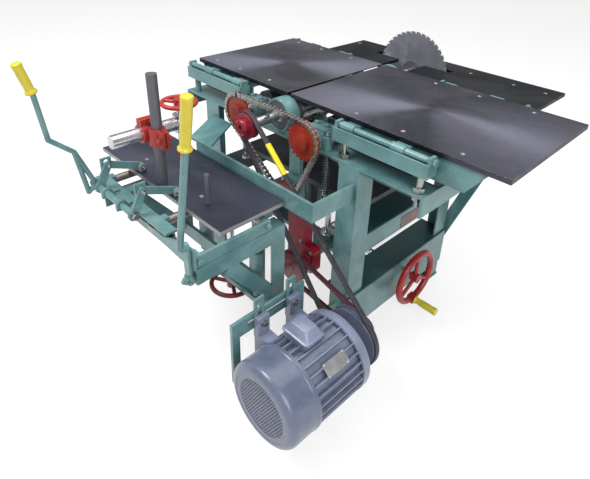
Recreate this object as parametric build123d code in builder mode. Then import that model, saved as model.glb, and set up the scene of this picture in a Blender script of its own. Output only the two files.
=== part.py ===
from build123d import *
from math import ceil, cos, hypot, pi, radians, sin, sqrt
import os

# A combined surface planer, thicknesser, circular saw and slot mortiser on one welded frame.
# Sizes are in millimetres. X runs along the planer tables from the cutter's axis, towards the
# infeed end. Y runs from the tables' front edge to the back. Z is the height above the floor.

# Fits
running = 0.05
seated = 0.02
passing = 1.0
narrow = 0.3
nothing = 1e-9

# Planer tables
table_top = 672.0
table_width = 400.0
table_thickness = 12.0
infeed_length = 600.0
outfeed_length = 397.0
lip_reach = 6.0
lip_thickness = 3.0
lip_bevel = 18.0
skirt_thickness = 6.0
skirt_inset = 6.0
skirt_depth = 60.0
skirt_start = 195.0
infeed_skirt_end = 560.0
outfeed_skirt_end = 395.0
skirt_slant = 45.0

# Slide beams under the planer tables
beam_near = 190.0
infeed_beam_far = 452.0
outfeed_beam_near = 156.0
outfeed_beam_far = 410.0
beam_width = 36.0
beam_height = 33.0
beam_wall = 5.0
beam_end = 8.0
beam_gap = 4.0
slide_rod_radius = 8.0
slide_rod_drop = 17.0
sleeve_radius = 11.0
sleeve_length = 36.0
infeed_sleeves = (225.0, 365.0)
outfeed_sleeves = (-185.0, -315.0)
jack_radius = 8.0
jack_places = (216.0, 428.0)
jack_below_rail = 30.0
jack_nut_width = 24.0
jack_nut_height = 13.0
beam_stud_radius = 9.0
outfeed_feet = (-220.0, -385.0)

# Welded frame
frame_right = 278.0
frame_left = -320.0
frame_overhang = 40.0
leg_width = 60.0
steel = 5.0
foot_size = 67.0
foot_margin = 3.0
foot_thickness = 6.0
rail_flange = 65.0
rail_depth = 50.0
rail_right = 445.0
rail_left = -414.0
end_plate = 6.0
panel_bottom = 62.0
panel_top = 185.0
panel_fold = 83.0
end_bar_bottom = 307.0
end_bar_height = 55.0

# Cutter spindle
spindle_drop = 52.0
housing_radius = 45.0
housing_length = 35.0
housing_gap = 3.0
housing_wall = 6.0
housing_foot_half = 72.0
housing_foot_height = 14.0
bearing_radius = 36.0
bearing_width = 17.0
journal_radius = 17.5
nose_radius = 12.5
block_radius = 40.0
block_length = 355.0
block_inset = 15.0
knife_count = 3
knife_reach = 2.0
knife_thickness = 3.0
knife_height = 18.0
wedge_thickness = 8.0
wedge_height = 12.0

# Chuck, saw blade and their seats on the spindle
chuck_radius = 20.0
chuck_length = 14.0
chuck_shank = 16.0
chuck_bore = 6.5
chuck_chamfer = 3.0
blade_radius = 130.0
blade_thickness = 2.6
blade_teeth = 40
blade_gullet = 6.0
saw_flange_radius = 35.0
saw_flange_thickness = 6.5
saw_nut_width = 34.0
saw_nut_height = 13.0

# V belts
main_belt_plane = -140.0
main_belt_width = 13.0
main_belt_height = 8.0
spindle_belt_radius = 30.0
motor_belt_radius = 70.0
feed_belt_plane = -102.0
feed_belt_width = 13.0
feed_belt_height = 8.0
feed_pulley_belt_radius = 40.0
motor_feed_belt_radius = 26.0
pulley_cheek = 3.2
belt_proud = 4.0

# Feed rollers, chain and gearbox
roller_spacing = 125.0
roller_radius = 35.0
roller_start = 30.0
roller_shaft_radius = 12.5
roller_block_half = 27.0
roller_block_rise = 25.0
roller_block_front = -28.0
roller_block_back = 15.0
chain_plane = -70.0
chain_pitch = 12.7
chain_height = 11.8
chain_inner_half = 4.2
chain_outer_half = 7.0
chain_roller_radius = 4.25
chain_entry = 32.0
sprocket_thickness = 7.2
sprocket_teeth = 24
drive_teeth = 14
tooth_height = 3.2
sprocket_hub_radius = 21.0
sprocket_hub_length = 10.0
drive_x = 67.0
drive_drop = 240.0
feed_pulley_x = 137.0
feed_pulley_drop = 428.0
feed_shaft_radius = 10.0
gearbox_left = 68.0
gearbox_right = 132.0
gearbox_head_half = 30.0
gearbox_foot_right = 167.0
gearbox_front = -58.0
gearbox_back = -28.0
gearbox_top_drop = 200.0
gearbox_column_drop = 272.0
gearbox_head_drop = 300.0
gearbox_foot_drop = 387.0
gearbox_bottom_drop = 467.0
gearbox_wall = 6.0
gearbox_corner = 16.0
gearbox_boss = 20.0
gearbox_boss_length = 5.0
gear_radius = 20.0
feed_gear_radius = 14.0
gear_thickness = 12.0

# Roller springs
spring_x = 160.0
spring_y = -20.0
spring_rod_radius = 4.0
spring_cup_radius = 12.0
spring_cup_height = 34.0
spring_arm_height = 14.0
spring_wire = 2.5
spring_mean_radius = 8.5
spring_length = 132.0
spring_turns = 16
spring_lead = 7.0
spring_nut_radius = 11.0
spring_nut_height = 8.0

# Motor and its bracket
motor_z = 202.0
motor_shaft_height = 112.0
motor_cowl_front = -425.0
motor_back = -350.0
motor_face = -195.0
motor_nose = -175.0
motor_core_radius = 86.0
motor_wall = 20.0
motor_fin_count = 28
motor_fin_thickness = 3.0
motor_end_wall = 10.0
motor_cowl_radius = 100.0
motor_cowl_wall = 2.5
motor_cowl_lap = 3.0
motor_cowl_round = 30.0
cowl_hole_radius = 4.0
cowl_first_ring = 2
cowl_last_ring = 5
cowl_ring_step = 12.0
cowl_holes_per_ring = 5
motor_shaft_radius = 14.0
motor_foot_length = 32.0
motor_foot_half = 115.0
motor_foot_thickness = 14.0
motor_web_half = 70.0
rotor_gap = 1.0
fan_radius = 86.0
fan_blades = 8
fan_width = 30.0
terminal_box_length = 51.0
terminal_box_width = 71.0
terminal_box_inset = 17.0
terminal_box_y = -291.0
terminal_box_foot = 84.0
terminal_box_top = 133.0
terminal_box_lid = 8.0
terminal_lid_margin = 4.0
terminal_lid_round = 4.0
terminal_box_round = 8.0
mount_inset = 16.0
mount_bar_thickness = 8.0
mount_bar_top = 120.0
mount_bar_height = 43.0
mount_bar_front = -381.0
mount_bar_back = -188.0
mount_slot_width = 12.0
strap_thickness = 6.0
strap_width = 26.0
strap_top = 160.0
strap_bottom = 55.0
strap_places = (-330.0, -236.0)
mount_post_width = 20.0
mount_arm_top = -24.0
mount_arm_height = 28.0

# Thicknesser bed
bed_left = -230.0
bed_right = 244.0
bed_front = 30.0
bed_back = 330.0
bed_top = 432.0
bed_thickness = 15.0
bed_x = -21.0
bed_y = 210.0
bed_post_spread = 85.0
bed_post_radius = 15.0
bed_post_top = 372.0
bed_boss_radius = 23.0
bed_boss_length = 200.0
bed_screw_radius = 10.0
bed_pivot_radius = 8.0
bed_collar_radius = 14.0
base_beam_bottom = 84.0
base_beam_thickness = 12.0
base_beam_width = 60.0
base_plate_thickness = 10.0
base_plate_width = 90.0
base_plate_margin = 25.0
thrust_height = 12.0
thrust_radius = 22.0
crank_shaft_z = 147.0
crank_shaft_radius = 10.0
mitre_outer = 25.0
mitre_inner = 13.0
mitre_gap = 1.0
crank_bracket_x = 36.0
crank_bracket_thickness = 16.0
crank_bracket_half = 18.0
crank_wheel_x = 330.0
crank_wheel_radius = 78.0
crank_rim_radius = 9.5
crank_spokes = 3
crank_hub_radius = 14.0
crank_hub_length = 24.0
crank_spoke_radius = 5.5
crank_pin_radius = 5.0
crank_boss_half = 11.5
crank_grip_radius = 12.0
crank_grip_length = 74.0
crank_grip_start = 11.5
crank_grip_round = 4.0

# Saw table
saw_table_left = -282.0
saw_table_right = 463.0
saw_table_gap = 6.0
saw_table_depth = 202.0
saw_table_drop = 20.0
saw_table_thickness = 10.0
saw_notch_half = 50.0
saw_notch_depth = 140.0
blade_to_notch_end = 24.0
blade_slot_reach = 145.0
blade_slot_half = 12.0
hinge_x = -262.0
hinge_drop = 15.0
hinge_radius = 10.0
hinge_knuckle_radius = 15.0
hinge_knuckle_length = 30.0
hinge_knuckle_places = (24.0, 164.0)
hinge_bracket_thickness = 8.0
hinge_bracket_width = 50.0
hinge_bracket_depth = 154.0
strut_width = 36.0
strut_thickness = 6.0
strut_inset = 2.0
strut_top_x = 425.0
strut_drop = 22.0
strut_pin_radius = 6.0
strut_lug_thickness = 8.0
strut_lug_half = 16.0
strut_bolt_x = 266.0
strut_bolt_z = 172.0
strut_bolt_radius = 6.0
strut_slot_clearance = 3.0
strut_slot_travel = 72.0
strut_tail = 90.0
strut_nut_radius = 16.0
strut_nut_height = 12.0

# Outrigger that carries the mortiser
outrigger_inset = 8.0
outrigger_reach = 140.0
outrigger_top_drop = 141.0
outrigger_height = 46.0
outrigger_thickness = 8.0
outrigger_left = -172.0
arm_plate_thickness = 6.0
arm_plate_width = 90.0
arm_plate_root = -290.0
arm_plate_tip = -200.0
lug_bottom_drop = 240.0
lug_height = 35.0
lug_half = 20.0
lug_length = 45.0
guide_spread = 110.0
guide_y = -205.0
guide_radius = 12.5
guide_bottom = 175.0
tie_height = 15.0
tie_width = 30.0
tie_margin = 30.0

# Mortiser knee
knee_half = 200.0
knee_angle = 40.0
knee_front = -437.0
knee_back = -195.0
knee_drop = 48.0
knee_bottom = 242.0
knee_beam_height = 40.0
knee_beam_thickness = 10.0
knee_beam_y = -231.0
knee_sleeve_radius = 20.0
knee_sleeve_bottom = 225.0
knee_sleeve_top = 335.0
brace_width = 34.0
brace_front = -355.0
brace_back = -216.0
cross_rod_radius = 9.0
cross_rod_rise = 16.0
front_rod_y = -428.0
rear_rod_y = -246.0
rod_bracket_outer = 190.0
rod_bracket_width = 20.0
rod_bracket_wall = 3.0
raised_inset = 2.0
lift_screw_radius = 10.0
lift_collar_radius = 15.0
lift_collar_height = 8.0
lift_wheel_z = 163.0
lift_wheel_radius = 57.0
lift_rim_radius = 6.5
lift_hub_radius = 15.0
lift_hub_length = 20.0
lift_spokes = 3
lift_spoke_radius = 5.5

# Mortiser carriage
carriage_left = -115.0
carriage_right = 91.0
carriage_sleeve_radius = 14.0
carriage_bar_left = -225.0
carriage_bar_right = 100.0
carriage_bar_thickness = 6.0
plunge_rod_radius = 10.0
plunge_rod_drop = 15.0
plunge_rod_places = (-205.0, 40.0)
rod_hanger_length = 14.0
rock_y = -458.0
rock_drop = 7.0
rock_radius = 8.0
rock_lug_thickness = 8.0
rock_lug_places = (-126.0, -56.0)
rock_lug_half = 13.0
drive_plate_thickness = 5.0
drive_plate_gap = 1.0
drive_plate_start = -57.5
drive_plate_side = 10.0
drive_plate_end = 5.0

# Mortise table
mortise_drop = 168.0
mortise_left = -343.0
mortise_right = 184.0
mortise_front = -364.0
mortise_back = -184.0
mortise_thickness = 10.0
plunge_sleeve_radius = 13.0
plunge_sleeve_length = 60.0
plunge_sleeve_y = -310.0
table_hole_radius = 3.5
table_hole_inset = 40.0
link_places = (-167.0, -8.0)
link_pin_y = -348.0
link_pin_rise = 10.0
link_pin_radius = 4.0
link_lug_half = 9.0
link_lug_thickness = 8.0
link_thickness = 6.0
link_half = 9.0
link_eye_half = 13.0
link_slot_half = 9.0

# Plunge lever
rock_arm_length = 56.0
rock_arm_angle = 63.5
rock_arm_thickness = 8.0
rock_hub_radius = 13.0
lever_x = -181.0
lever_rod_radius = 6.0
lever_junction_y = -494.0
lever_junction_rise = 97.0
lever_bend_y = -542.0
lever_bend_rise = 141.0
lever_grip_y = -552.0
lever_grip_rise = 245.0
lever_end_y = -572.0
lever_end_rise = 321.0
lever_loop_y = -478.0
lever_loop_rise = -14.0
grip_radius = 10.0
grip_collar_radius = 13.0
grip_collar_length = 6.0
grip_end_round = 4.0

# Traverse lever
traverse_pivot_x = 187.0
traverse_pivot_drop = 26.0
traverse_pin_radius = 6.0
traverse_arm_length = 65.0
traverse_travel = 50.0
traverse_hub_radius = 14.0
traverse_flat = 6.0
traverse_flat_width = 18.0
traverse_follower_radius = 5.0
traverse_slot_clearance = 3.0
traverse_tube_radius = 7.0
traverse_tube_y = -461.0
traverse_foot_rise = 83.0
traverse_grip_x = 236.0
traverse_grip_rise = 315.0
traverse_top_x = 255.0
traverse_top_rise = 417.0

# Work clamp on the mortise table
post_x = -69.0
post_y = -345.0
post_radius = 12.5
post_height = 272.0
stop_x = 74.0
stop_y = -316.0
stop_radius = 6.0
stop_height = 74.0
clamp_bar_x = -105.0
clamp_bar_rise = 124.0
clamp_bar_radius = 16.0
clamp_bar_front = -440.0
clamp_bar_back = -250.0
clamp_wall = 6.5
clamp_casting_length = 50.0
clamp_post_boss = 40.0
clamp_ear_thickness = 9.0
clamp_ear_rise = 20.0
clamp_lug_reach = 18.0
clamp_split = 3.0
clamp_head_y = -262.0
clamp_head_radius = 18.0
clamp_head_height = 44.0
clamp_screw_radius = 8.0
clamp_tip_radius = 6.0
clamp_tip_depth = 12.0
pad_radius = 12.0
pad_gap = 13.0
pad_height = 38.0
clamp_wheel_rise = 175.0
clamp_wheel_radius = 40.0
clamp_rim_radius = 5.5
clamp_hub_radius = 13.0
clamp_hub_length = 18.0
clamp_spokes = 3
clamp_spoke_radius = 4.5

# Places worked out from the sizes above
spindle_z = table_top - spindle_drop
rail_top = spindle_z - housing_radius
rail_under = rail_top - steel
rail_bottom = rail_top - rail_depth
frame_front = -frame_overhang
frame_rear = table_width + frame_overhang
table_under = table_top - table_thickness
roller_z = rail_top + roller_block_rise
drive_z = table_top - drive_drop
feed_pulley_z = table_top - feed_pulley_drop
gearbox_top = table_top - gearbox_top_drop
gearbox_bottom = table_top - gearbox_bottom_drop
gearbox_head_zs = (table_top - gearbox_head_drop, gearbox_top)
gearbox_column_zs = (gearbox_bottom, table_top - gearbox_column_drop)
gearbox_foot_zs = (gearbox_bottom, table_top - gearbox_foot_drop)
base_top = base_beam_bottom + base_beam_thickness
slide_rod_z = table_top - slide_rod_drop
slide_rod_y = -beam_gap - beam_width / 2
beam_top = slide_rod_z - slide_rod_radius + beam_wall
beam_bottom = beam_top - beam_height
mount_right = frame_right - mount_inset
motor_x = mount_right + strap_thickness + motor_shaft_height
housing_front = -housing_gap - housing_length
journal_end = housing_front - passing
saw_table_front = frame_rear + saw_table_gap
saw_table_z = table_top - saw_table_drop
saw_table_under = saw_table_z - saw_table_thickness
blade_y = saw_table_front + saw_notch_depth - blade_to_notch_end
hinge_z = saw_table_under - hinge_drop
outrigger_top = table_top - outrigger_top_drop
outrigger_front = frame_front - outrigger_reach
outrigger_bottom = outrigger_top - outrigger_height
outrigger_right = frame_right - outrigger_inset
lug_bottom = table_top - lug_bottom_drop
lug_top = lug_bottom + lug_height
mortise_top = table_top - mortise_drop
mortise_under = mortise_top - mortise_thickness
knee_top = mortise_top - knee_drop
cross_rod_z = knee_top + cross_rod_rise
carriage_bar_z = cross_rod_z + carriage_sleeve_radius
plunge_rod_z = mortise_under - plunge_rod_drop
rock_z = mortise_top - rock_drop
pulley_half = main_belt_width / 2 + narrow + pulley_cheek
feed_pulley_half = feed_belt_width / 2 + narrow + pulley_cheek


def middle(span):
    return (span[0] + span[1]) / 2


def across(near, far, rear):
    # A span in Y at the front, or its mirror image at the back of the tables.
    if rear:
        return (table_width - far, table_width - near)
    return (near, far)


def inward(edge, direction, size):
    if direction > 0:
        return (edge, edge + size)
    return (edge - size, edge)


def block(xs, ys, zs, mode=Mode.ADD):
    with Locations((middle(xs), middle(ys), middle(zs))):
        Box(xs[1] - xs[0], ys[1] - ys[0], zs[1] - zs[0], mode=mode)


def round_x(xs, y, z, radius, mode=Mode.ADD):
    with Locations(Location((middle(xs), y, z), (0, 90, 0))):
        Cylinder(radius, xs[1] - xs[0], mode=mode)


def round_y(x, ys, z, radius, mode=Mode.ADD):
    with Locations(Location((x, middle(ys), z), (90, 0, 0))):
        Cylinder(radius, ys[1] - ys[0], mode=mode)


def round_z(x, y, zs, radius, mode=Mode.ADD):
    with Locations((x, y, middle(zs))):
        Cylinder(radius, zs[1] - zs[0], mode=mode)


def outline_x(points, xs, mode=Mode.ADD):
    # A closed outline of (y, z) points, drawn out along X.
    with BuildSketch(Plane.YZ.offset(xs[0])) as outline:
        with BuildLine():
            Polyline(*points, close=True)
        make_face()
    extrude(outline.sketch, amount=xs[1] - xs[0], mode=mode)


def outline_y(points, ys, mode=Mode.ADD):
    # A closed outline of (x, z) points, drawn out along Y.
    with BuildSketch(Plane.XZ.offset(-ys[1])) as outline:
        with BuildLine():
            Polyline(*points, close=True)
        make_face()
    extrude(outline.sketch, amount=ys[1] - ys[0], mode=mode)


def strip(start, end, width):
    # The four corners of a flat strip between two points.
    length = hypot(end[0] - start[0], end[1] - start[1])
    side = ((end[1] - start[1]) / length * width / 2, -(end[0] - start[0]) / length * width / 2)
    return [
        (start[0] + side[0], start[1] + side[1]),
        (end[0] + side[0], end[1] + side[1]),
        (end[0] - side[0], end[1] - side[1]),
        (start[0] - side[0], start[1] - side[1]),
    ]


def round_bar(points, radius):
    # A bent round bar through the points, with rounded bends and ends.
    for start, end in zip(points, points[1:]):
        run = Vector(*end) - Vector(*start)
        with Locations(Plane(origin=start, z_dir=run)):
            Cylinder(radius, run.length, align=(Align.CENTER, Align.CENTER, Align.MIN))
    with Locations(*points):
        Sphere(radius)


def slot_through_x(xs, y_span, z_span, mode=Mode.SUBTRACT):
    # A slot with round ends through a plate that faces X, along its longer side.
    wide = y_span[1] - y_span[0]
    tall = z_span[1] - z_span[0]
    radius = min(wide, tall) / 2
    if wide > tall:
        block(xs, (y_span[0] + radius, y_span[1] - radius), z_span, mode)
        for y in (y_span[0] + radius, y_span[1] - radius):
            round_x(xs, y, middle(z_span), radius, mode)
    else:
        block(xs, y_span, (z_span[0] + radius, z_span[1] - radius), mode)
        for z in (z_span[0] + radius, z_span[1] - radius):
            round_x(xs, middle(y_span), z, radius, mode)


def slot_through_y(x_span, ys, z_span, mode=Mode.SUBTRACT):
    # An upright slot with round ends through a plate that faces Y.
    radius = (x_span[1] - x_span[0]) / 2
    block(x_span, ys, (z_span[0] + radius, z_span[1] - radius), mode)
    for z in (z_span[0] + radius, z_span[1] - radius):
        round_y(middle(x_span), ys, z, radius, mode)


def loop_band(wheels, growth, ys, mode=Mode.ADD):
    # The convex outline round some wheels, each (x, z, radius) grown by the same amount.
    with BuildSketch(Plane.XZ.offset(-ys[1])) as outline:
        for x, z, radius in wheels:
            with Locations((x, z)):
                Circle(radius + growth)
        make_hull()
    extrude(outline.sketch, amount=ys[1] - ys[0], mode=mode)


def belt(wheels, height, plane, width):
    ys = (plane - width / 2, plane + width / 2)
    loop_band(wheels, height, ys)
    loop_band(wheels, 0, ys, Mode.SUBTRACT)


def grooved_pulley(x, z, plane, belt_radius, belt_height, belt_width, bore):
    half = belt_width / 2 + narrow + pulley_cheek
    ys = (plane - half, plane + half)
    groove = (plane - belt_width / 2 - narrow, plane + belt_width / 2 + narrow)
    rim = belt_radius + belt_height - belt_proud
    root = belt_radius - narrow
    round_y(x, ys, z, rim)
    with Locations(Location((x, plane, z), (90, 0, 0))):
        Cylinder(rim + passing, groove[1] - groove[0], mode=Mode.SUBTRACT)
    round_y(x, (groove[0] - narrow, groove[1] + narrow), z, root)
    round_y(x, ys, z, bore, Mode.SUBTRACT)


def pitch_radius(teeth):
    return chain_pitch / 2 / sin(pi / teeth)


def sprocket(x, z, teeth, bore):
    ys = (chain_plane - sprocket_thickness / 2, chain_plane + sprocket_thickness / 2)
    ring = pitch_radius(teeth)
    with BuildSketch(Plane.XZ.offset(-ys[1])) as wheel:
        with Locations((x, z)):
            Circle(ring + tooth_height)
            with PolarLocations(ring, teeth):
                Circle(chain_roller_radius + narrow, mode=Mode.SUBTRACT)
            Circle(bore, mode=Mode.SUBTRACT)
    extrude(wheel.sketch, amount=sprocket_thickness)


def handwheel(plane, ring_radius, rim_radius, spokes, spoke_radius, hub_radius, hub_length):
    # A round rim with straight spokes and a hub, in the given plane.
    with BuildSketch(Plane(plane.origin, x_dir=plane.x_dir, z_dir=plane.y_dir)) as section:
        with Locations((ring_radius, 0)):
            Circle(rim_radius)
    revolve(section.sketch, axis=Axis(plane.origin, plane.z_dir))
    with Locations(plane):
        Cylinder(hub_radius, hub_length)
        with PolarLocations(0, spokes, start_angle=90):
            with Locations(Location((ring_radius / 2, 0, 0), (0, 90, 0))):
                Cylinder(spoke_radius, ring_radius)


def hand_grip(start, end, rod_radius):
    # A moulded grip with a collar at its lower end, hollow for the rod inside it.
    run = Vector(*end) - Vector(*start)
    with Locations(Plane(origin=start, z_dir=run)):
        base = (Align.CENTER, Align.CENTER, Align.MIN)
        Cylinder(grip_radius, run.length, align=base)
        Cylinder(grip_collar_radius, grip_collar_length, align=base)
    tops = edges().filter_by(GeomType.CIRCLE).sort_by(Axis(start, tuple(run)))[-1:]
    fillet(tops, grip_end_round)
    with Locations(Plane(origin=start, z_dir=run)):
        Cylinder(rod_radius + seated, run.length - grip_radius, align=base, mode=Mode.SUBTRACT)


def biarc(start, start_way, end, end_way):
    # Two arcs that meet smoothly and join two points with the given directions.
    chord = end - start
    ways = start_way + end_way
    square = 2 * (start_way.dot(end_way) - 1)
    linear = -2 * chord.dot(ways)
    constant = chord.dot(chord)
    if abs(square) < nothing:
        reach = -constant / linear
    else:
        reach = (-linear - sqrt(linear * linear - 4 * square * constant)) / (2 * square)
    first = start + start_way * reach
    second = end - end_way * reach
    joint = (first + second) / 2
    TangentArc(start, joint, tangent=start_way)
    TangentArc(joint, end, tangent=second - first)


# Four angle legs on foot pads
with BuildPart() as legs:
    for edge_x, in_x in ((frame_left, 1), (frame_right, -1)):
        for edge_y, in_y in ((frame_front, 1), (frame_rear, -1)):
            height = (foot_thickness, rail_under)
            block(inward(edge_x, in_x, leg_width), inward(edge_y, in_y, steel), height)
            block(inward(edge_x, in_x, steel), inward(edge_y, in_y, leg_width), height)
            pad_x = inward(edge_x - in_x * foot_margin, in_x, foot_size)
            pad_y = inward(edge_y - in_y * foot_margin, in_y, foot_size)
            block(pad_x, pad_y, (0, foot_thickness))

# Angle rails along both sides, closed by a plate at each end
with BuildPart() as top_frame:
    for rear in (False, True):
        flange = across(frame_front, frame_front + rail_flange, rear)
        web = across(frame_front + rail_flange - steel, frame_front + rail_flange, rear)
        block((rail_left, rail_right), flange, (rail_under, rail_top))
        block((rail_left, rail_right), web, (rail_bottom, rail_under))
        spring_hole = middle(across(spring_y, spring_y, rear))
        jack_hole = middle(across(slide_rod_y, slide_rod_y, rear))
        for x in (-spring_x, spring_x):
            round_z(x, spring_hole, (rail_under, rail_top), spring_rod_radius + passing, Mode.SUBTRACT)
        for x in jack_places:
            round_z(x, jack_hole, (rail_under, rail_top), jack_radius + running, Mode.SUBTRACT)
    for plate in ((rail_left - end_plate, rail_left), (rail_right, rail_right + end_plate)):
        block(plate, (frame_front, frame_rear), (rail_bottom, rail_top))

# Wide panels low on both ends, folded in along the top and fitted round the legs, the right one
# with the hole for the crank shaft
between_legs = (frame_front + leg_width, frame_rear - leg_width)
inside_legs = (frame_front + steel, frame_rear - steel)
with BuildPart() as end_panels:
    fold_zs = (panel_top - steel, panel_top)
    for edge_x, in_x in ((frame_left, 1), (frame_right, -1)):
        block(inward(edge_x, -in_x, steel), (frame_front, frame_rear), (panel_bottom, panel_top))
        block(inward(edge_x, in_x, panel_fold), between_legs, fold_zs)
        block(inward(edge_x + in_x * steel, in_x, panel_fold - steel), inside_legs, fold_zs)
    crank_hole = (frame_right, frame_right + steel)
    round_x(crank_hole, bed_y, crank_shaft_z, crank_shaft_radius + running, Mode.SUBTRACT)

# End bars between the legs, and the base beam with the bed's guide posts
with BuildPart() as frame_bars:
    for edge_x, in_x in ((frame_left, 1), (frame_right, -1)):
        block(inward(edge_x, in_x, steel), between_legs, (end_bar_bottom, end_bar_bottom + end_bar_height))
    beam_ys = (bed_y - base_beam_width / 2, bed_y + base_beam_width / 2)
    block((frame_left, frame_right), beam_ys, (base_beam_bottom, base_top))
    plate_half = bed_post_spread + base_plate_margin
    plate_xs = (bed_x - base_plate_width / 2, bed_x + base_plate_width / 2)
    plate_top = base_top + base_plate_thickness
    block(plate_xs, (bed_y - plate_half, bed_y + plate_half), (base_top, plate_top))
    for y in (bed_y - bed_post_spread, bed_y + bed_post_spread):
        round_z(bed_x, y, (plate_top, bed_post_top), bed_post_radius)
    thrust_top = plate_top + thrust_height
    round_z(bed_x, bed_y, (plate_top, thrust_top), thrust_radius)
    round_z(bed_x, bed_y, (plate_top, thrust_top), bed_pivot_radius + running, Mode.SUBTRACT)
    bracket_xs = inward(crank_bracket_x - crank_bracket_thickness / 2, 1, crank_bracket_thickness)
    bracket_ys = (bed_y - crank_bracket_half, bed_y + crank_bracket_half)
    block(bracket_xs, bracket_ys, (base_top, crank_shaft_z))
    round_x(bracket_xs, bed_y, crank_shaft_z, crank_bracket_half)
    round_x(bracket_xs, bed_y, crank_shaft_z, crank_shaft_radius + running, Mode.SUBTRACT)

# Outrigger of flat bars in front of the frame, with lugs for the mortiser's guide posts
with BuildPart() as outrigger:
    bar_zs = (outrigger_bottom, outrigger_top)
    arm_xs = (outrigger_right - outrigger_thickness, outrigger_right)
    block(arm_xs, (outrigger_front, frame_front), bar_zs)
    front_ys = (outrigger_front, outrigger_front + outrigger_thickness)
    block((outrigger_left, outrigger_right), front_ys, bar_zs)
    with BuildSketch(Plane.XY.offset(outrigger_top - arm_plate_thickness)):
        with BuildLine():
            Polyline(
                (arm_plate_root, frame_front),
                (arm_plate_root + arm_plate_width, frame_front),
                (arm_plate_tip + arm_plate_width, outrigger_front),
                (arm_plate_tip, outrigger_front),
                close=True,
            )
        make_face()
    extrude(amount=arm_plate_thickness)
    for x in (-guide_spread, 0, guide_spread):
        lug_xs = (x - lug_half, x + lug_half)
        block(lug_xs, front_ys, (lug_bottom, outrigger_bottom))
        block(lug_xs, (outrigger_front - lug_length, outrigger_front), (lug_bottom, lug_top))
    for x in (-guide_spread, guide_spread):
        round_z(x, guide_y, (lug_bottom, lug_top), guide_radius + seated, Mode.SUBTRACT)
    round_z(0, guide_y, (lug_bottom, lug_top), lift_screw_radius + running, Mode.SUBTRACT)

# Two guide posts for the mortiser's knee, tied at the bottom
with BuildPart() as guide_posts:
    tie_zs = (guide_bottom, guide_bottom + tie_height)
    for x in (-guide_spread, guide_spread):
        round_z(x, guide_y, (guide_bottom, lug_top), guide_radius)
    tie_half = guide_spread + tie_margin
    block((-tie_half, tie_half), (guide_y - tie_width / 2, guide_y + tie_width / 2), tie_zs)
    round_z(0, guide_y, tie_zs, lift_screw_radius + running, Mode.SUBTRACT)

# Pillow blocks that carry the spindle on the rails
with BuildPart() as bearing_housings:
    for rear in (False, True):
        ys = across(housing_front, -housing_gap, rear)
        pocket = across(housing_front + housing_wall, -housing_gap, rear)
        round_y(0, ys, spindle_z, housing_radius)
        block((-housing_foot_half, housing_foot_half), ys, (rail_top, rail_top + housing_foot_height))
        round_y(0, pocket, spindle_z, bearing_radius + seated, Mode.SUBTRACT)
        round_y(0, ys, spindle_z, journal_radius + passing, Mode.SUBTRACT)

with BuildPart() as spindle_bearings:
    for rear in (False, True):
        bearing_start = housing_front + housing_wall
        ys = across(bearing_start, bearing_start + bearing_width, rear)
        round_y(0, ys, spindle_z, bearing_radius)
        round_y(0, ys, spindle_z, journal_radius + running, Mode.SUBTRACT)

# Bearing blocks of the feed rollers, each with a spring cup and a rod through the rail
with BuildPart() as roller_blocks:
    rod_bottom = rail_under - spring_length - spring_nut_height
    for rear in (False, True):
        block_ys = across(roller_block_front, roller_block_back, rear)
        rod_y = middle(across(spring_y, spring_y, rear))
        arm_ys = (rod_y - spring_cup_radius / 2, rod_y + spring_cup_radius / 2)
        for side in (-1, 1):
            x = side * roller_spacing
            block_xs = (x - roller_block_half, x + roller_block_half)
            block_top = roller_z + roller_block_rise
            block(block_xs, block_ys, (rail_top, block_top))
            arm_xs = sorted((x, side * spring_x))
            block(arm_xs, arm_ys, (roller_z - spring_arm_height / 2, roller_z + spring_arm_height / 2))
            round_z(side * spring_x, rod_y, (rail_top, rail_top + spring_cup_height), spring_cup_radius)
            round_z(side * spring_x, rod_y, (rod_bottom, rail_top), spring_rod_radius)
            nut_zs = (rod_bottom, rod_bottom + spring_nut_height)
            round_z(side * spring_x, rod_y, nut_zs, spring_nut_radius)
            round_y(x, block_ys, roller_z, roller_shaft_radius + running, Mode.SUBTRACT)

# One compression spring: straight ends, and half turns between them
half_turn = 1 / 2
quarter_turn = half_turn / 2
spring_pitch = (spring_length - 2 * spring_wire - 2 * spring_lead) / (spring_turns - half_turn)


def coil_point(turn):
    angle = 2 * pi * turn
    height = spring_wire + spring_lead + (turn - quarter_turn) * spring_pitch
    return Vector(spring_mean_radius * cos(angle), spring_mean_radius * sin(angle), height)


def coil_way(turn):
    angle = 2 * pi * turn
    rise = spring_pitch / (2 * pi)
    way = Vector(-spring_mean_radius * sin(angle), spring_mean_radius * cos(angle), rise)
    return way.normalized()


coil_stops = [quarter_turn + step * half_turn for step in range(2 * spring_turns)]
upward = Vector(0, 0, 1)
last_turn = coil_stops[-1]
end_angle = 2 * pi * (last_turn + quarter_turn)
coil_foot = Vector(spring_mean_radius, 0, 0)
coil_head = Vector(spring_mean_radius * cos(end_angle), spring_mean_radius * sin(end_angle), spring_length)
with BuildPart() as spring_form:
    with BuildLine() as coil:
        Line(coil_foot, coil_foot + upward * spring_wire)
        biarc(coil_foot + upward * spring_wire, upward, coil_point(coil_stops[0]), coil_way(coil_stops[0]))
        for first, second in zip(coil_stops, coil_stops[1:]):
            biarc(coil_point(first), coil_way(first), coil_point(second), coil_way(second))
        biarc(coil_point(last_turn), coil_way(last_turn), coil_head - upward * spring_wire, upward)
        Line(coil_head - upward * spring_wire, coil_head)
    with BuildSketch(Plane(origin=coil_foot, z_dir=upward)):
        Circle(spring_wire / 2)
    sweep(path=coil.wire())

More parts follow.
